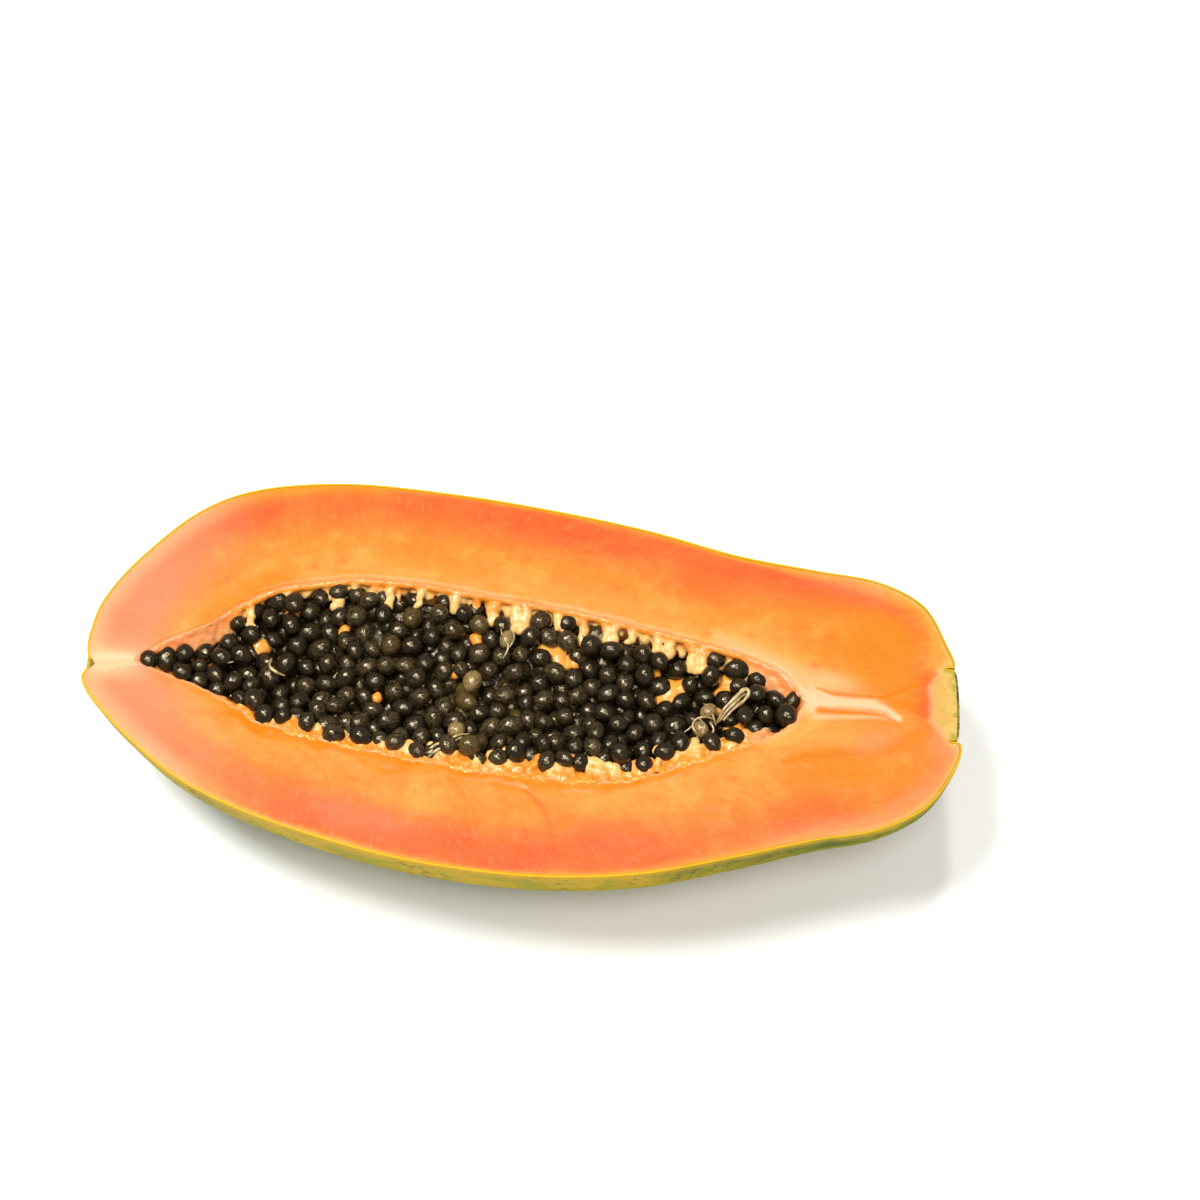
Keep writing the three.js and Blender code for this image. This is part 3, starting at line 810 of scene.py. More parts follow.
def deep_on(face):
    """The deep orange of both ends, of the wet strip along the near rim, and in streaks round the cavity."""
    x, far, from_cavity, wander = face.x, face.far, face.from_cavity, face.wander
    deep = 0.8 * patch(face.points, (98, -23.4), (16, 4.4)) * (0.6 + 0.6 * face.blotch)
    deep += 0.7 * face.fan + 1.1 * face.wet + 0.6 * face.top_margin
    right_end = np.where(far, smooth(7, 12, face.from_skin + 0.5 * wander), 0.25) * smooth(80, 108, x)
    deep += right_end * (0.4 + 0.7 * face.blotch)
    left_far = smooth(-103, -94, x) * smooth(-62, -80, x) * far
    left_near = smooth(-108, -92, x) * smooth(-62, -74, x) * (1 - far)
    deep += 0.85 * left_far * smooth(10, 1.5, from_cavity + 0.6 * wander)
    deep += 0.4 * left_near * smooth(12, 3, from_cavity + wander)
    return deep + 0.4 * smooth(0.5, 0.8, face.ragged) * smooth(24, 6, from_cavity)


def yellow_on(face):
    """The yellow of the stem stub, and along the skin at the stem end."""
    near_skin = smooth(2.6, 0.9, face.from_skin + 0.3 * noise_at(face.points, 6, 19)) * smooth(78, 112, face.x)
    return face.stub * (0.85 + 0.3 * noise_at(face.points, 2.5, 15)) + 0.6 * near_skin


def line_on(face):
    """The yellow line under the skin, wider toward the stem."""
    x = face.x
    width = 0.9 + 0.4 * smooth(-90, -120, x) + 0.3 * noise_at(face.points, 9, 6)
    width += 0.7 * smooth(40, 80, x) + 1.2 * smooth(96, 122, x)
    return 0.9 * smooth(1, 0.3, (face.from_skin - PEEL) / width) * (1 - face.stub)


def shade_on(face):
    """Painted shade round the rim of the cavity's right tip, where the seeds nest in, and the dark flecks."""
    shade = 0.35 * smooth(1.8, 0.1, face.from_cavity) * smooth(79, 84, face.x)
    for place in FLECKS:
        shade += 0.5 * patch(face.points, place, (1.3, 0.8)) * (0.4 + 0.8 * face.ragged)
    return shade


def flesh_values(points, from_skin, from_cavity):
    """Where each colour of the cut face lies, from 0 to 1 at each point."""
    face = Face(points, from_skin, from_cavity)
    values = {"coral": coral_on(face), "pink": pink_on(face), "pale": pale_on(face), "cream": cream_on(face)}
    values.update(deep=deep_on(face), yellow=yellow_on(face), line=line_on(face), shade=shade_on(face))
    values["green"] = face.stub * np.maximum(0.4, smooth(126, 129.6, face.x + 1.2 * noise_at(points, 2, 16)))
    values["wet"] = face.wet + 0.4 * smooth(1.6, 0, from_cavity)
    for colour, strength, path, width in LINE_MARKS:
        values[colour] += strength * stroke(points, path, width)
    for colour, strength, centre, size, turn in PATCH_MARKS:
        values[colour] += strength * patch(points, centre, size, turn)
    streaks = 0.8 * stroke(points, STREAK, 0.8) + stroke(points, WEDGE, 0.9)
    values["cream"] *= 1 - np.minimum(streaks, 1)
    values["deep"] *= 1 - 0.85 * patch(points, (120.6, -0.6), (3.4, 6))
    return {key: np.clip(numbers, 0, 1) for key, numbers in values.items()}


def near_zone(points, from_cavity, wander):
    """The wet orange strip along the near rim, where the placenta has come away with the knife."""
    x = points[:, 0]
    reach = 4.2 + 1.8 * noise_at(points, 11, 14) + 0.4 * wander
    strip = smooth(1.3, 0.7, from_cavity / np.maximum(reach, 1.2))
    broken = 0.62 + 0.5 * rough_at(points, 7, 17)
    return strip * broken * (points[:, 1] < 0) * smooth(-96, -76, x) * smooth(74, 50, x)


def wall_values(points, side_depth):
    """Where each colour lies on the wall of the cavity, by its depth below the cut."""
    x = points[:, 0]
    tip = np.maximum(smooth(-84, -94, x), smooth(66, 76, x))
    lumps = 0.5 + 0.5 * rough_at(points, 3.5, 12)
    streaks = 0.5 + 0.5 * rough_at(points * (0.3, 1, 1), 1.6, 13)
    # The wall is painted paler toward the rim and at both tips, and creamier toward the rim: painted light. It
    # is painted darker deeper down and round the seeds at the right tip: painted shade.
    shallow = smooth(3.2, 0.4, side_depth)
    tip_shade = 0.7 * smooth(1.4, 4, side_depth) * smooth(72, 80, x)
    return {
        "coral": 0.25 * tip * streaks,
        "pink": tip * 0.5 * streaks,
        "pale": np.clip((1 - tip) * 0.3 * lumps + tip + 0.5 * shallow, 0, 1),
        "cream": (1 - tip) * (1 - shallow) * 0.4 * lumps + 0.5 * shallow * lumps,
        "deep": np.clip((1 - tip) * (0.2 * shallow + 0.5 * (1 - lumps)) + 0.15 * tip * streaks, 0, 1),
        "yellow": 0 * x,
        "green": 0 * x,
        "line": np.clip(0.5 * smooth(2.0, 0.3, side_depth) * (1 - tip) * lumps, 0, 1),
        "shade": np.maximum(0.4 * smooth(3, 10, side_depth), tip_shade),
        "wet": 0.6 + 0 * x,
    }


def flesh_bowl(rows):
    """The hidden outside of the flesh, just inside the skin."""
    angle = np.linspace(0, np.pi, HIDDEN_COLUMNS)
    bowl = fruit_surface(even_grid(FRUIT_RINGS, rows, angle), angle)
    bowl -= grid_normals(bowl, ((-1, 0, 0), (1, 0, 0))) * (PEEL - SEAM)
    bowl[:, [0, -1], 2] = CUT_HEIGHT - SEAM
    return bowl


def cavity_wall(rows):
    """The wall of the cavity, lumpy where the placenta was, and rounded off at its rim."""
    even = np.linspace(0, 1, WALL_COLUMNS)
    angle = np.pi * (0.45 * even + 0.55 * (0.5 - 0.5 * np.cos(np.pi * even)))
    wall = cavity_surface(even_grid(CAVITY_RINGS, rows, angle), angle)
    normals = grid_normals(wall, ((-1, 0, 0), (1, 0, 0)))
    points = wall.reshape(-1, 3)
    x, depth = points[:, 0], CUT_HEIGHT - points[:, 2]
    lumpy = smooth(-98, -84, x) * smooth(76, 66, x)
    near = (points[:, 1] < np.repeat(wall.mean(axis=1)[:, 1], len(angle))) * smooth(6, 0, depth)
    push = 0.3 * rough_at(points, 6, 20)
    push += lumpy * (0.3 + 0.5 * smooth(0.5, 3, depth)) * rough_at(points, 2.6, 21)
    push += (1 - lumpy) * 0.25 * rough_at(points * (0.25, 1, 1), 1.8, 22)
    push += lumpy * near * (0.8 * rough_at(points, 5, 23) + 0.4 * noise_at(points, 1.8, 24))
    pushed = wall + normals * push.reshape(wall.shape[:2])[:, :, None]
    pushed[0], pushed[-1] = wall[0], wall[-1]
    pushed[:, :, 2] -= LIP_DROP * np.exp(-depth / LIP_DEPTH).reshape(wall.shape[:2])
    return pushed


def cut_face(outer, inner, surface):
    """The cut face between the skin and the rim of the cavity, with each point's gap from both."""
    even = np.linspace(0, 1, FACE_ROWS + 1)
    spacing = 0.5 * even + 0.5 * (0.5 - 0.5 * np.cos(np.pi * even))
    face = outer[None] + (inner - outer)[None] * spacing[:, None, None]
    points = face.reshape(-1, 3)
    from_skin = gap_to(points, finer(closed_loop(surface)))
    from_cavity = gap_to(points, finer(inner))
    near = points[:, 1] < 0
    relief = 0.12 * rough_at(points, 14, 30) + 0.06 * rough_at(points, 3, 31) + 0.02 * rough_at(points, 0.9, 33)
    relief += 0.25 * stroke(points, STRIP, 1.5) - 0.3 * stroke(points, BLOSSOM_LINE, 1.2)
    relief -= 0.2 * stroke(points, STREAK, 0.7) + 0.3 * stroke(points, WEDGE, 0.9)
    relief -= 0.12 * stroke(points, GROOVE, 1.2)
    for path in SIDE_GROOVES:
        relief -= 0.06 * stroke(points, path, 1.6)
    zone = near_zone(points, from_cavity, wander_at(points))
    relief -= zone * (0.35 + 0.25 * rough_at(points, 2.2, 34))
    relief += 0.06 * np.exp(-(((from_cavity - 1.3) / 0.6) ** 2)) * (1 - near)
    inside = smooth(0, 0.7, from_skin - PEEL)
    width = LIP_WIDTH * (1 + near * (1.2 + noise_at(points, 4, 35)))
    rounding = LIP_DROP * np.exp(-((from_cavity / width) ** 2))
    points[:, 2] = CUT_HEIGHT - SEAM * (1 - inside) + relief * inside - rounding
    face[0], face[-1] = outer, inner
    return face, from_skin, from_cavity


def flesh_piece(surface, material):
    """The flesh in one piece: its outside under the skin, the wall of the cavity and the cut face."""
    bowl, wall = flesh_bowl(FRUIT_ROWS), cavity_wall(FRUIT_ROWS)
    outer, inner = closed_loop(bowl), closed_loop(wall)
    face, from_skin, from_cavity = cut_face(outer, inner, surface)
    flat_face, flat_wall = face.reshape(-1, 3), wall.reshape(-1, 3)
    bowl_count, wall_count = bowl.shape[0] * bowl.shape[1], len(flat_wall)
    points = np.concatenate([bowl.reshape(-1, 3), flat_wall, flat_face])
    quads = np.concatenate([
        grid_quads(FRUIT_ROWS, bowl.shape[1]),
        grid_quads(FRUIT_ROWS, wall.shape[1], bowl_count)[:, ::-1],
        grid_quads(FACE_ROWS + 1, len(outer), bowl_count + wall_count),
    ])
    on_face = flesh_values(flat_face, from_skin, from_cavity)
    on_wall = wall_values(flat_wall, CUT_HEIGHT - flat_wall[:, 2])
    fade = smooth(0, RIM_FADE, from_cavity)
    values = {}
    for key in on_face:
        rim_value = on_wall[key].reshape(*wall.shape[:2], 1)
        at_rim = np.tile(closed_loop(rim_value)[:, 0], FACE_ROWS + 1)
        blended = on_face[key] * fade + at_rim * (1 - fade)
        values[key] = np.concatenate([np.zeros(bowl_count), on_wall[key], blended])
    along = crowded(FRUIT_ROWS) * CUT_LENGTH
    along = np.concatenate([along, 2 * CUT_LENGTH - along[::-1]])
    flow = np.stack([np.tile(along, FACE_ROWS + 1), from_cavity, 0 * from_cavity], axis=1)
    values["flow"] = np.concatenate([np.zeros((bowl_count, 3)), flat_wall, flow])
    points, faces, first = weld(points, quads)
    values = {key: numbers[first] for key, numbers in values.items()}
    return make_piece("papaya_flesh", points, faces, material, "fruit", values)


# Placenta

def ball(detail=2):
    """A round mesh of triangles with a radius of 1."""
    shape = bmesh.new()
    bmesh.ops.create_icosphere(shape, subdivisions=detail, radius=1)
    points = np.array([v.co[:] for v in shape.verts])
    faces = np.array([[v.index for v in f.verts] for f in shape.faces])
    shape.free()
    return points, faces


def rim_y(x, side):
    """The y of the cavity's rim at x, on the far side (1) or the near side (-1)."""
    line = [ring[0 if side > 0 else 1] for ring in CAVITY_RINGS]
    return np.interp(x, [place[0] for place in line], [place[1] for place in line])


# Big cream teeth of placenta on the far wall, as the x and y of the tip, and the radius
FAR_TEETH = [
    (-83.6, 17, 1.5), (-73, 27, 2), (-58.8, 25.4, 2.3), (-41.6, 25.4, 1.8), (-32.4, 26, 1.4), (-22.4, 25, 2),
    (-10.8, 22.6, 2.3), (-3.6, 20.6, 2.2), (-0.2, 20.4, 2.2), (9.3, 20.8, 1.9), (16.5, 16, 1.9), (24, 17, 1.7),
    (27.2, 16.4, 1.7), (31.8, 17, 1.5), (39.6, 15, 1.5), (43.6, 13.4, 2.2), (49.6, 9.6, 1.9), (53.6, 9.8, 1.9),
]
# Placenta seen between the seeds, as x, y and the radius
PATCHES = [
    (-73.5, 22.2, 2.4), (-80.2, 10.8, 2.2), (-93.7, 2, 1.4), (-55.6, 17.5, 1.3), (-44, -4.2, 1.2),
    (-21.8, 5.8, 1.2), (-15, 16.6, 1.3), (8.2, 12.4, 2.6), (14, 11.4, 1.7), (36, 10.4, 1.4), (39, 7.4, 1.4),
    (44.9, 1.8, 3.2), (61.6, 5.2, 2.4), (61, -3, 1.5), (64.4, -8.2, 2.2), (68.9, -12, 1.8), (60.6, -14, 2),
]
# Membrane on the far wall at both tips, as first and last x and a count
TIP_BANKS = [(-110, -88, 16), (66, 81, 12)]
# How far the crumbs of placenta reach in from the near rim, as x and width
CRUMB_BAND = [
    (-98, 0), (-90, 1.4), (-80, 2.4), (-70, 4.2), (-56, 4.6), (-40, 4), (-24, 5.6),
    (0, 7), (24, 7.4), (44, 7), (60, 5), (72, 3), (78, 0),
]
PLACENTA_VOXEL = 0.42  # fineness of the placenta's mesh
PLACENTA_SOFTENING = 7  # rounds of smoothing
PLACENTA_RISE = 0.3  # how far the placenta may stand above the cut
SHORT_TEETH = 90
RIM_BALLS = 190
CRUMBS = 640
LIP_CRUMBS = 240
NEAR_TEETH = 30
CHUNKS = 54
BALLS_A_CHUNK = 3
BALLS_A_PATCH = 9
PATCH_SHARE = 0.7  # share of a patch's radius that seeds stay out of


def band_width(x):
    """How far the crumbs reach in at x."""
    return np.interp(x, *zip(*CRUMB_BAND))


def long_teeth(random):
    """The big teeth on the far wall."""
    for x, y, radius in FAR_TEETH:
        tip = (x + 1.6 * swing(random), y)
        stem = tooth(random, (x, rim_y(x, 1) + 0.8), tip, 0.86 * radius, 0.32)
        yield from stem + ragged_end(random, stem[-1])


def short_teeth(random):
    """The small teeth between them."""
    for x in spread_along(random, -92, 72, SHORT_TEETH):
        root_y = rim_y(x, 1) + 0.5
        radius = 0.7 + 0.7 * next(random)
        tip = (x + 1.5 * swing(random), root_y - 1.2 - 3 * next(random) ** 1.5)
        yield from tooth(random, (x, root_y), tip, radius, 0.6, 1.2 + 2.4 * next(random))


def far_rim(random):
    """The ridge that the teeth of the far wall hang from."""
    for x in spread_along(random, -112, 83, RIM_BALLS):
        yield x, rim_y(x, 1) + 0.5, CUT_HEIGHT - 1.75 - 0.3 * next(random), 1.4, 0.0, 0.3


def tip_banks(random):
    """The membrane on the far wall at both tips of the cavity."""
    for first, last, count in TIP_BANKS:
        for x in spread_along(random, first, last, count):
            root_y = rim_y(x, 1) + 1.2
            radius = 1.9 + 0.5 * next(random)
            tip = (x - 1, root_y - 4.2 - 1.2 * next(random))
            yield from tooth(random, (x, root_y), tip, radius, 0.62, 0.9)


def crumbs(random):
    """The crumbs along the near rim, and a ledge under them where their band is wide."""
    for x in spread_along(random, CRUMB_BAND[0][0], CRUMB_BAND[-1][0], CRUMBS):
        width = band_width(x)
        out = width * next(random)
        radius = 0.5 + 1.0 * next(random) ** 2 + 0.3 * min(out / 4, 1)
        sink = radius + 0.5 + 0.25 * out + 1.6 * next(random)
        share = 0.5 - 0.3 * sink + 0.08 * out + 0.35 * swing(random)
        yield x, rim_y(x, -1) + out - 0.9, CUT_HEIGHT - sink, radius, share, 0.1
        if width > 1:
            yield x, rim_y(x, -1) + out * 0.9 - 0.8, CUT_HEIGHT - 3.6 - 0.3 * out, 1.9, 0.05, 0.2


def lip_crumbs(random):
    """Small crumbs on the near lip itself, in groups."""
    for x in spread_along(random, -82, 72, LIP_CRUMBS):
        if math.sin(0.9 * x) + math.sin(0.37 * x + 1) < -0.2:
            continue
        radius = 0.45 + 0.55 * next(random)
        y = rim_y(x, -1) - 1.6 * next(random)
        yield x, y, CUT_HEIGHT - radius - 0.1 - 0.5 * next(random), radius, 0.1, 0.6


def near_teeth(random):
    """Stubs that reach in from the near rim through the crumbs."""
    for _ in range(NEAR_TEETH):
        x = -84 + 156 * next(random)
        radius = 0.9 + 1.5 * next(random)
        tip = (x + 2 * swing(random), rim_y(x, -1) + band_width(x) * (0.7 + 0.45 * next(random)))
        yield from tooth(random, (x, rim_y(x, -1) + 0.8), tip, radius, 0.12, 0.5 + 0.5 * next(random))


def chunks(random):
    """Larger lumps on the crumbs, each of a few balls."""
    for x in spread_along(random, -80, 68, CHUNKS):
        radius = 1.1 + 0.9 * next(random)
        y = rim_y(x, -1) + band_width(x) * (0.3 + 0.75 * next(random))
        height = CUT_HEIGHT - radius - 0.5 - 1.1 * next(random)
        share = next(random)
        for _ in range(BALLS_A_CHUNK):
            dx, dy, dz = (0.8 * radius * swing(random) for _ in range(3))
            yield x + dx, y + dy, height + 0.3 * dz, radius * (0.6 + 0.3 * next(random)), share, 0.1


def patches(random):
    """Placenta deeper down, seen between the seeds."""
    for x, y, size in PATCHES:
        for _ in range(BALLS_A_PATCH):
            dx, dy = (size * swing(random) for _ in range(2))
            height = CUT_HEIGHT - 5.2 - size - 0.8 * next(random)
            yield x + dx, y + dy, height, size * (0.9 + 0.3 * next(random)), 0.4, 0.7


def placenta_balls():
    """All the balls of the placenta, as x, y, z, radius, share of the way out and yellowness."""
    random = random_from(RANDOM_START + 7)
    parts = [long_teeth, short_teeth, far_rim, tip_banks, crumbs, lip_crumbs, near_teeth, chunks, patches]
    return np.array([row for part in parts for row in part(random)])


def ragged_end(random, tip):
    """Balls on both sides of a tooth's last ball, so that it ends broad and uneven."""
    x, y, z, radius = tip[:4]
    balls = []
    for side in (-1, 1):
        size = radius * (0.5 + 0.4 * next(random))
        out = radius * (0.5 + 0.5 * next(random))
        balls.append((x + side * out, y - 0.7 * radius * next(random), z + 0.3 * next(random), size, 1.0, 0.0))
    return balls


def tooth(random, root, tip, radius, droop, sink=0.7):
    """Balls along one tooth of placenta, from its root in the wall to its tip."""
    reach = math.dist(root, tip)
    steps = max(4, int(reach / radius * 2) + 2)
    balls = []
    for k in range(steps):
        share = k / (steps - 1)
        swell = radius * (0.82 + 0.3 * next(random))
        x = root[0] + (tip[0] - root[0]) * share + 0.35 * radius * swing(random)
        y = root[1] + (tip[1] - root[1]) * share
        balls.append((x, y, CUT_HEIGHT - radius - sink - droop * reach * share**1.4, swell, share, 0.0))
    return balls


def melted(balls):
    """A piece whose mesh is one skin that the balls melt together into."""
    shape, triangles = ball()
    points = [shape * radius + (x, y, z) for x, y, z, radius in balls[:, :4]]
    faces = [triangles + k * len(shape) for k in range(len(balls))]
    rough = bpy.data.meshes.new("placenta_balls")
    rough.from_pydata((np.concatenate(points) * MM).tolist(), [], np.concatenate(faces).tolist())
    piece = add_object("papaya_placenta", rough)
    remesh = piece.modifiers.new("one_skin", "REMESH")
    remesh.mode = "VOXEL"
    remesh.voxel_size = PLACENTA_VOXEL * MM
    soften = piece.modifiers.new("soften", "SMOOTH")
    soften.iterations = PLACENTA_SOFTENING
    mesh = bpy.data.meshes.new_from_object(piece.evaluated_get(bpy.context.evaluated_depsgraph_get()))
    mesh.name = "papaya_placenta"
    piece.modifiers.clear()
    piece.data = mesh
    return piece


def placenta_piece(material):
    """The placenta, roughened, with the colours of the ball that each point is nearest to."""
    balls = placenta_balls()
    piece = melted(balls)
    mesh = piece.data
    places, normals = np.zeros((2, len(mesh.vertices) * 3))
    mesh.vertices.foreach_get("co", places)
    mesh.vertex_normals.foreach_get("vector", normals)
    places, normals = places.reshape(-1, 3) / MM, normals.reshape(-1, 3)
    places += normals * (0.16 * rough_at(places, 1.6, 40) + 0.07 * rough_at(places, 0.7, 41))[:, None]
    places[:, 2] = np.minimum(places[:, 2], CUT_HEIGHT + PLACENTA_RISE)
    mesh.vertices.foreach_set("co", (places * MM).ravel())
    own_ball = balls[nearest(places, balls[:, :3])[0]]
    at_tips = np.maximum(smooth(-86, -94, places[:, 0]), smooth(64, 72, places[:, 0]))
    finish_mesh(mesh, {"tip": own_ball[:, 4], "tone": own_ball[:, 5], "blush": at_tips})
    return dress(piece, material, "fruit")


# Seeds

def zone_at(x):
    """The far and near y of the seeds' zone at x."""
    xs, fars, nears = zip(*SEED_ZONE)
    return np.interp(x, xs, fars), np.interp(x, xs, nears)


def sink_at(x, y):
    """How deep the centres of the top seeds lie, deeper in the middle of a wide zone."""
    far, near = zone_at(x)
    side = min(1, abs(y - (far + near) / 2) / max((far - near) / 2, 1))
    fullness = min(1, (far - near) / FULL_ZONE_WIDTH)
    return SEED_SINK_EDGE + (SEED_SINK_MIDDLE - SEED_SINK_EDGE) * (1 - side * side) * fullness


def place_seeds(random, count):
    """Seed centres, turn, lean and size. Each goes to the loneliest of a few random places in the zone."""
    first, last = SEED_ZONE[0][0], SEED_ZONE[-1][0]
    lowest, highest = min(z[2] for z in SEED_ZONE), max(z[1] for z in SEED_ZONE)
    seeds = []
    taken = []
    for _ in range(count):
        best, best_gap, tried = None, -1, 0
        while tried < CANDIDATES:
            x = first + (last - first) * next(random)
            y = lowest + (highest - lowest) * next(random)
            far, near = zone_at(x)
            if y > far or y < near:
                continue
            tried += 1
            gap = min([last - first] + [math.hypot(x - sx, y - sy) for sx, sy in taken])
            if gap > best_gap:
                best, best_gap = (x, y), gap
        taken.append(best)
        z = CUT_HEIGHT - sink_at(*best) + SEED_SINK_SPREAD * swing(random)
        turn, lean = math.pi * next(random), SEED_TILT * swing(random)
        seeds.append((*best, z, turn, lean, 1 + SEED_SIZE_SPREAD * swing(random)))
    return np.array(seeds)


def settle(seeds, moving, inset=0.0):
    """Seeds that overlap push each other apart and away from the placenta, and stay near where they began."""
    places = seeds[:, :3].copy()
    reach = seeds[:, 5] * (SEED_LENGTH + SEED_WIDTH) / 4 * SEED_TIGHTNESS
    need = reach[:, None] + reach[None, :]
    blocks = np.array([(x, y, size * PATCH_SHARE) for x, y, size in PATCHES] + FAR_TEETH)
    for _ in range(SETTLE_ROUNDS):
        offset = places[:, None] - places[None]
        gap = np.linalg.norm(offset, axis=2) + 1e-6
        overlap = np.clip(need - gap, 0, None)
        np.fill_diagonal(overlap, 0)
        push = (offset / gap[:, :, None] * overlap[:, :, None]).sum(axis=1) * 0.28
        aside = places[:, None, :2] - blocks[None, :, :2]
        gap = np.linalg.norm(aside, axis=2) + 1e-6
        overlap = np.clip(blocks[:, 2] + 0.6 * reach[:, None] - gap, 0, None)
        push[:, :2] += (aside / gap[:, :, None] * overlap[:, :, None]).sum(axis=1) * 0.3
        places[moving] += push[moving] + (seeds[moving, :3] - places[moving]) * (0.02, 0.02, 0.04)
        near_end = near_limit(places[:, 0]) + inset * moving
        places[:, 1] = np.clip(places[:, 1], near_end, rim_y(places[:, 0], 1) - FAR_MARGIN)
        places[:, 2] = np.minimum(places[:, 2], CUT_HEIGHT - HIGHEST_SEED)
    settled = seeds.copy()
    settled[:, :3] = places
    return settled


def near_limit(x):
    """How near seeds may lie, so that the crumbs of placenta stay in sight."""
    share = 0.72 + 0.26 * np.sin(0.29 * x + 1) + 0.16 * np.sin(0.83 * x)
    return rim_y(x, -1) + np.maximum(band_width(x) * share, 2) + 0.4


def row_seeds(random):
    """Seeds in rows along the edge of the pile and down its tips."""
    seeds = []
    for path, gap, height in SEED_ROWS:
        length = sum(math.dist(a, b) for a, b in zip(path[:-1], path[1:]))
        count = int(length / gap) + 1
        t = places_along(lambda t: spline_at(path, t), np.linspace(0, 1, count))
        for x, y in spline_at(path, t):
            x, y, z = (value + ROW_STRAY * swing(random) for value in (x, y, height))
            turn, lean = math.pi * next(random), SEED_TILT * swing(random)
            seeds.append((x, y, z, turn, lean, 1 + ROW_SIZE_SPREAD * swing(random)))
    for x, y in PALE_SEEDS:
        seeds.append((x, y, CUT_HEIGHT - 2.4, math.pi * next(random), 0.2, 0.85))
    return np.array(seeds)


def seed_shape(segments, rings):
    """An egg lying along X with a half length and half width of 1: points by ring, and its quads."""
    theta = np.linspace(0, np.pi, rings + 1)[:, None]
    phi = np.linspace(0, 2 * np.pi, segments, endpoint=False)[None]
    radius = np.sin(theta) * (1 + 0.07 * np.cos(theta))
    x = np.cos(theta) * (1 + 0.04 * np.sin(theta) ** 8)
    grid = np.dstack([x * np.ones_like(phi), radius * np.cos(phi), radius * np.sin(phi)])
    return grid.reshape(-1, 3), grid_quads(rings + 1, segments, wrap=True)


def seeds_piece(name, seeds, fineness, seed_start, light, material):
    """One mesh of seeds, each with bumps and proportions of its own. Those numbered in light are pale."""
    shape, quads = seed_shape(*fineness)
    random = random_from(seed_start)
    points, faces, grain, tone, pale = [], [], [], [], []
    for index, (x, y, z, turn, lean, size) in enumerate(seeds):
        start = np.array([next(random) for _ in range(3)]) * 40
        ridge = rough_at(shape * (0.5, 1, 1) + start, 0.34, 50)
        bumps = 1 + 0.05 * ridge + 0.07 * noise_at(shape + start, 1.1, 52)
        local = shape * bumps[:, None] * np.array([SEED_LENGTH, SEED_WIDTH, SEED_WIDTH]) * size / 2
        long, wide = 1 + 0.12 * swing(random), 1 + 0.08 * swing(random)
        local = local * (long, wide, 1 / wide)
        roll = 2 * math.pi * next(random)
        turned = local @ turn_matrix(roll, lean, turn).T
        points.append(turned + (x, y, z))
        faces.append(quads + index * len(shape))
        grain.append(shape * (0.6, 1, 1) + start)
        dark = 0.75 * max(smooth(4, 40, x), smooth(-48, -74, x))
        tone.append(np.full(len(shape), next(random) * (1 - dark)))
        pale.append(np.full(len(shape), 1.0 if index in light else 0.0))
    points, faces, first = weld(np.concatenate(points), np.concatenate(faces))
    values = {"grain": np.concatenate(grain)[first], "tone": np.concatenate(tone)[first]}
    values["light"] = np.concatenate(pale)[first]
    return make_piece(name, points, faces, material, "seeds", values)


def turn_matrix(roll, lean, turn):
    """Turns a seed about its own length by roll, then tips it by lean, then turns it level by turn."""
    (cr, cl, ct), (sr, sl, st) = ([f(angle) for angle in (roll, lean, turn)] for f in (math.cos, math.sin))
    about_x = np.array([[1, 0, 0], [0, cr, -sr], [0, sr, cr]])
    about_y = np.array([[cl, 0, sl], [0, 1, 0], [-sl, 0, cl]])
    about_z = np.array([[ct, -st, 0], [st, ct, 0], [0, 0, 1]])
    return about_z @ about_y @ about_x


def seed_bed(material):
    """The seeds packed below, as one lumpy block that fills the cavity up to them."""
    t = np.linspace(*BED_ENDS, BED_ROWS)
    angle = np.linspace(0, np.pi, HIDDEN_COLUMNS)
    hull = cavity_surface(t[:, None] + 0 * angle, angle)
    middle = (hull[:, :1] + hull[:, -1:]) / 2
    hull = middle + (hull - middle) * BED_WIDTH
    top = hull[:, -1:] + (hull[:, :1] - hull[:, -1:]) * np.linspace(0, 1, BED_COLUMNS)[None, :, None]
    flat = top.reshape(-1, 3)
    sink = np.array([sink_at(x, y) for x, y in flat[:, :2]])
    flat[:, 2] = CUT_HEIGHT - sink - LOWER_DROP - BED_DROP + BED_LUMPS * noise_at(flat, 4, 60)
    top = flat.reshape(top.shape)
    hull[:, :, 2] = np.minimum(hull[:, :, 2], top[:, :1, 2])
    grid = np.concatenate([hull[:, :-1], top[:, :-1]], axis=1)
    rows, columns = grid.shape[:2]
    count = rows * columns
    faces = grid_quads(rows, columns, wrap=True).tolist()
    for j in range(columns):
        after = (j + 1) % columns
        faces.append([count, after, j])
        faces.append([count + 1, count - columns + j, count - columns + after])
    ends = [grid[0].mean(axis=0), grid[-1].mean(axis=0)]
    points = np.concatenate([grid.reshape(-1, 3), ends])
    plain = np.zeros(len(points))
    values = {"grain": points / 3, "tone": plain, "light": plain}
    return make_piece("papaya_seed_bed", points, faces, material, "seeds", values)


# Threads

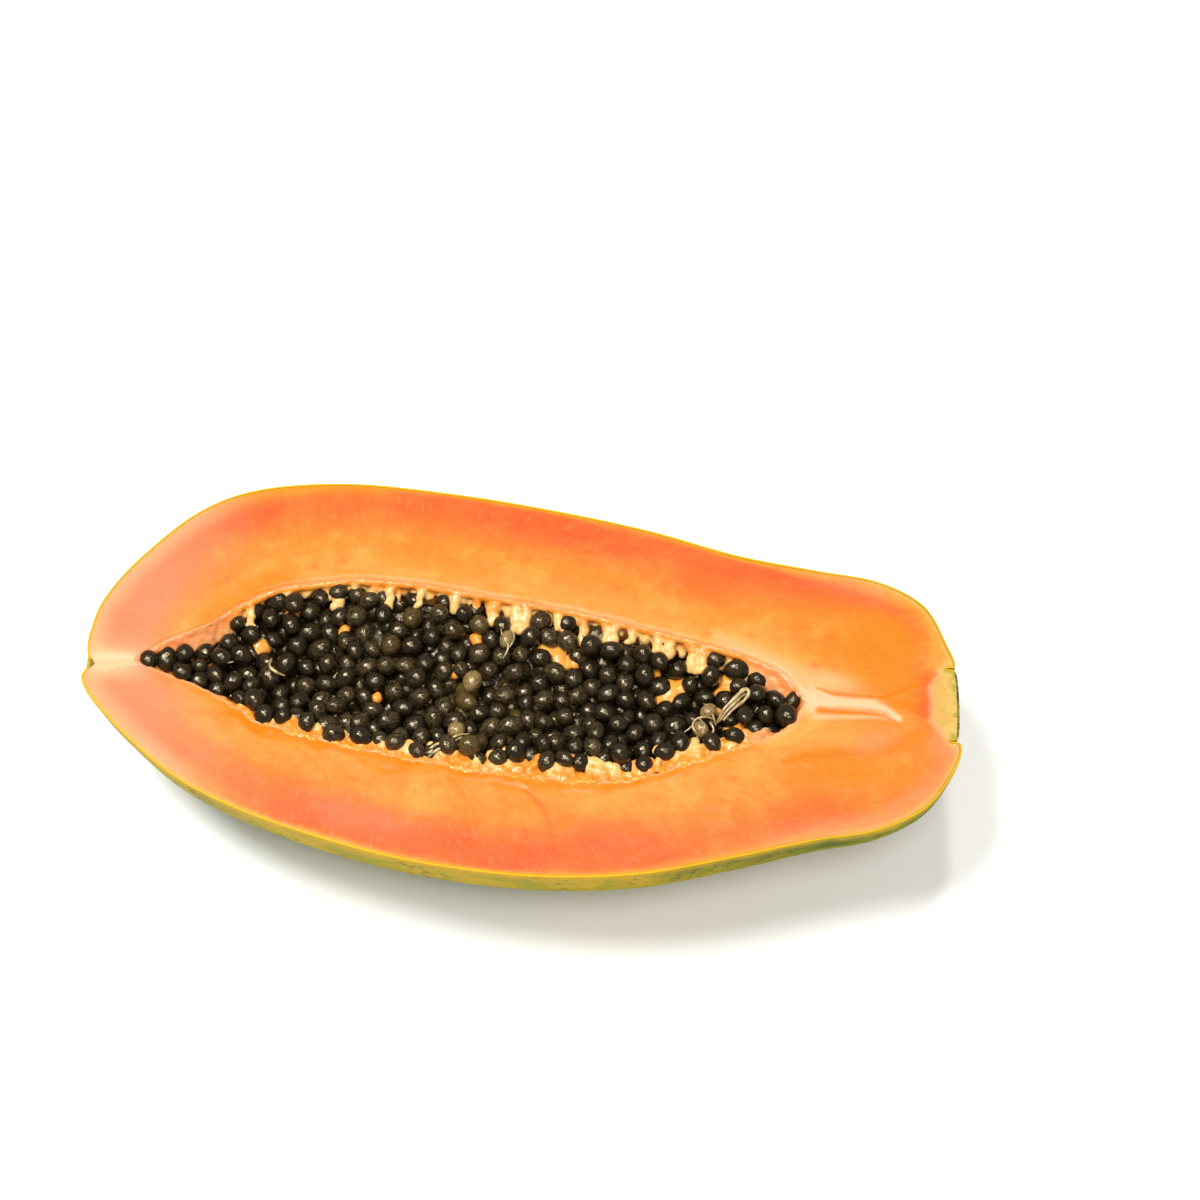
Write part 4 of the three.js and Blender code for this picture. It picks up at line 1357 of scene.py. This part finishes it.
def tube(path, radius, sides=8, steps=40):
    """A round thread along a smooth path, thinner at its ends, as points and faces."""
    t = np.linspace(0, 1, steps)
    line = spline_at(path, t)
    along = np.gradient(line, axis=0)
    along /= np.linalg.norm(along, axis=1, keepdims=True)
    side = np.cross(along, (0.13, 0.31, 0.94))
    side /= np.linalg.norm(side, axis=1, keepdims=True)
    up = np.cross(side, along)
    turn = np.linspace(0, 2 * np.pi, sides, endpoint=False)
    thick = 0.72 * radius * (0.3 + 0.7 * np.sin(np.pi * np.clip(t, 0.02, 0.98)) ** 0.6)
    thick *= 1 + 0.4 * noise_at(line, 1.6, 70)
    ring = side[:, None] * np.cos(turn)[None, :, None] + up[:, None] * np.sin(turn)[None, :, None]
    grid = line[:, None] + ring * thick[:, None, None]
    faces = grid_quads(steps, sides, wrap=True).tolist()
    faces.append(list(range(sides))[::-1])
    faces.append([(steps - 1) * sides + k for k in range(sides)])
    return grid.reshape(-1, 3), faces


THREADS = [  # paths of x, y and z, and the radius
    ([(58.6, -8.4, 56.6), (60.6, -4.6, 58.4), (63.4, -1.4, 59.4), (66.6, 1.9, 59.6), (67.9, 1, 59.4),
      (66.6, -1.4, 59), (63.4, -4.4, 58.6), (60.6, -7.6, 57.4)], 0.98),
    ([(59.2, -7.8, 56.6), (61.8, -4.4, 58), (64.8, -1, 58.6), (66.9, 0.9, 58.8)], 0.95),
    ([(58, -8, 58.4), (55.4, -7.6, 59.4), (52.4, -8.6, 59.6), (51.6, -11, 59.2), (53.6, -13.4, 58.4)], 0.5),
    ([(52, -9.6, 59), (50.2, -11.6, 58.6), (47.8, -12.8, 58), (45, -12.4, 57.4)], 0.34),
    ([(47.8, -12.8, 58), (46.2, -14, 57.6), (45.4, -15, 57)], 0.2),
    ([(56.6, -9, 59), (57.8, -11.4, 59.2), (57, -14, 58.4), (58.8, -16, 57)], 0.5),
    ([(53.4, -8.4, 59.8), (55, -10.4, 60), (54.6, -13, 59.4)], 0.42),
    ([(54.4, -2.8, 58.4), (56, -4.6, 59.9), (57.6, -7.4, 59.2), (58.4, -9.6, 58)], 0.42),
    ([(-27.8, -23.6, 58.4), (-24.6, -20.8, 59.3), (-21.6, -19.8, 59.8), (-18.2, -17.6, 59.8),
      (-15, -16.4, 58.6)], 0.62),
    ([(-26.8, -24.8, 58.4), (-24, -22.4, 59.2), (-21, -21, 59.6), (-17, -20, 58.8)], 0.55),
    ([(-24.8, -25.2, 58.4), (-23.2, -22, 59), (-20.8, -18.4, 59.9), (-18.6, -14.6, 58.6)], 0.48),
    ([(-22.2, -22.4, 59), (-19, -19.6, 59.9), (-16.6, -18, 59.4), (-14.2, -18.6, 58.4)], 0.4),
    ([(-76, 5.6, 57.4), (-76.2, 2.4, 58.8), (-74, 0.4, 59), (-71.4, -0.2, 58)], 0.55),
    ([(-7.8, 19.4, 58), (-6.8, 15.4, 59.4), (-5, 12.4, 59), (-6.4, 9, 57.6)], 0.42),
    ([(-4.4, 18.4, 58.2), (-3.4, 15.4, 59.2), (-4.6, 12.4, 58.6)], 0.36),
    ([(17, 18, 57.6), (19, 15.8, 58.6), (21.6, 16.6, 58.8), (23.4, 18.8, 58)], 0.5),
    ([(-92, 4.6, 57.8), (-89.6, 3.2, 58.2), (-87.4, 3.8, 57.4)], 0.36),
]


def threads_piece(material):
    """All the threads, in one mesh."""
    points, faces, count = [], [], 0
    for path, radius in THREADS:
        more, shape = tube(path, radius)
        faces += [[corner + count for corner in face] for face in shape]
        points.append(more)
        count += len(more)
    return make_piece("papaya_threads", np.concatenate(points), faces, material, "seeds")


# The setting

def add_floor():
    reach = 4.0
    mesh = bpy.data.meshes.new("floor")
    corners = [(-reach, -reach, 0), (reach, -reach, 0), (reach, reach, 0), (-reach, reach, 0)]
    mesh.from_pydata(corners, [], [(0, 1, 2, 3)])
    mesh.materials.append(floor_material())
    floor = add_object("floor", mesh)


def add_camera():
    data = bpy.data.cameras.new("camera")
    data.sensor_width = CAMERA_SENSOR
    data.lens = CAMERA_LENS
    camera = add_object("camera", data)
    azimuth, elevation = math.radians(CAMERA_AZIMUTH), math.radians(CAMERA_ELEVATION)
    level = math.cos(elevation)
    back = Vector((math.sin(azimuth) * level, -math.cos(azimuth) * level, math.sin(elevation)))
    camera.location = (Vector(CAMERA_TARGET) + back * CAMERA_DISTANCE) * MM
    camera.rotation_euler = back.to_track_quat("Z", "Y").to_euler()
    bpy.context.scene.camera = camera


def add_light(name, place, size, power):
    """A round lamp that points at the fruit."""
    data = bpy.data.lights.new(name, "AREA")
    data.shape = "DISK"
    data.size = size
    data.energy = power
    light = add_object(name, data)
    light.location = place
    light.rotation_euler = (Vector(place) - Vector(LIGHT_AIM)).to_track_quat("Z", "Y").to_euler()


def add_light_and_world():
    world = bpy.data.worlds.new("studio")
    world.use_nodes = True
    background = world.node_tree.nodes["Background"]
    background.inputs["Color"].default_value = WORLD_COLOUR
    background.inputs["Strength"].default_value = WORLD_STRENGTH
    bpy.context.scene.world = world
    for name, place, size, power in LIGHTS:
        add_light(name, place, size, power)
    bpy.context.scene.view_settings.view_transform = "Standard"


def add_fruit():
    """The three pieces of the fruit, which share one outside surface."""
    angle = np.linspace(0, np.pi, SKIN_COLUMNS)
    surface = fruit_surface(even_grid(FRUIT_RINGS, FRUIT_ROWS, angle), angle)
    normals = grid_normals(surface, ((-1, 0, 0), (1, 0, 0)))
    skin_piece(surface, normals, angle, skin_material())
    flesh_piece(surface, flesh_material())
    placenta_piece(placenta_material())


def add_seeds():
    """Two layers of seeds, which are settled one after the other, and the bed below them."""
    material = seed_material()
    upper = place_seeds(random_from(RANDOM_START), SEED_COUNT)
    rows = row_seeds(random_from(RANDOM_START + 5))
    seeds = np.concatenate([upper, rows])
    seeds = settle(seeds, np.ones(len(seeds), bool))
    from_crumbs = seeds[:, 1] - near_limit(seeds[:, 0])
    lifted = seeds[:, 2] + NEAR_LIFT * smooth(4.5, 1, from_crumbs)
    seeds[:, 2] = np.minimum(lifted, CUT_HEIGHT - HIGHEST_SEED)
    lower = place_seeds(random_from(RANDOM_START + 1), LOWER_SEEDS)
    lower[:, 2] -= LOWER_DROP
    is_lower = np.arange(len(seeds) + len(lower)) >= len(seeds)
    both = settle(np.concatenate([seeds, lower]), is_lower, LOWER_INSET)
    upper, rows, lower = np.split(both, [len(upper), len(seeds)])
    seeds_piece("papaya_seeds_top", upper, FINE_SEED, RANDOM_START + 2, PALE_TOP_SEEDS, material)
    pale = set(range(len(rows) - len(PALE_SEEDS), len(rows)))
    seeds_piece("papaya_seeds_edge", rows, FINE_SEED, RANDOM_START + 4, pale, material)
    seeds_piece("papaya_seeds_lower", lower, COARSE_SEED, RANDOM_START + 3, set(), material)
    seed_bed(material)


add_floor()
add_camera()
add_light_and_world()
add_fruit()
add_seeds()
threads_piece(thread_material())
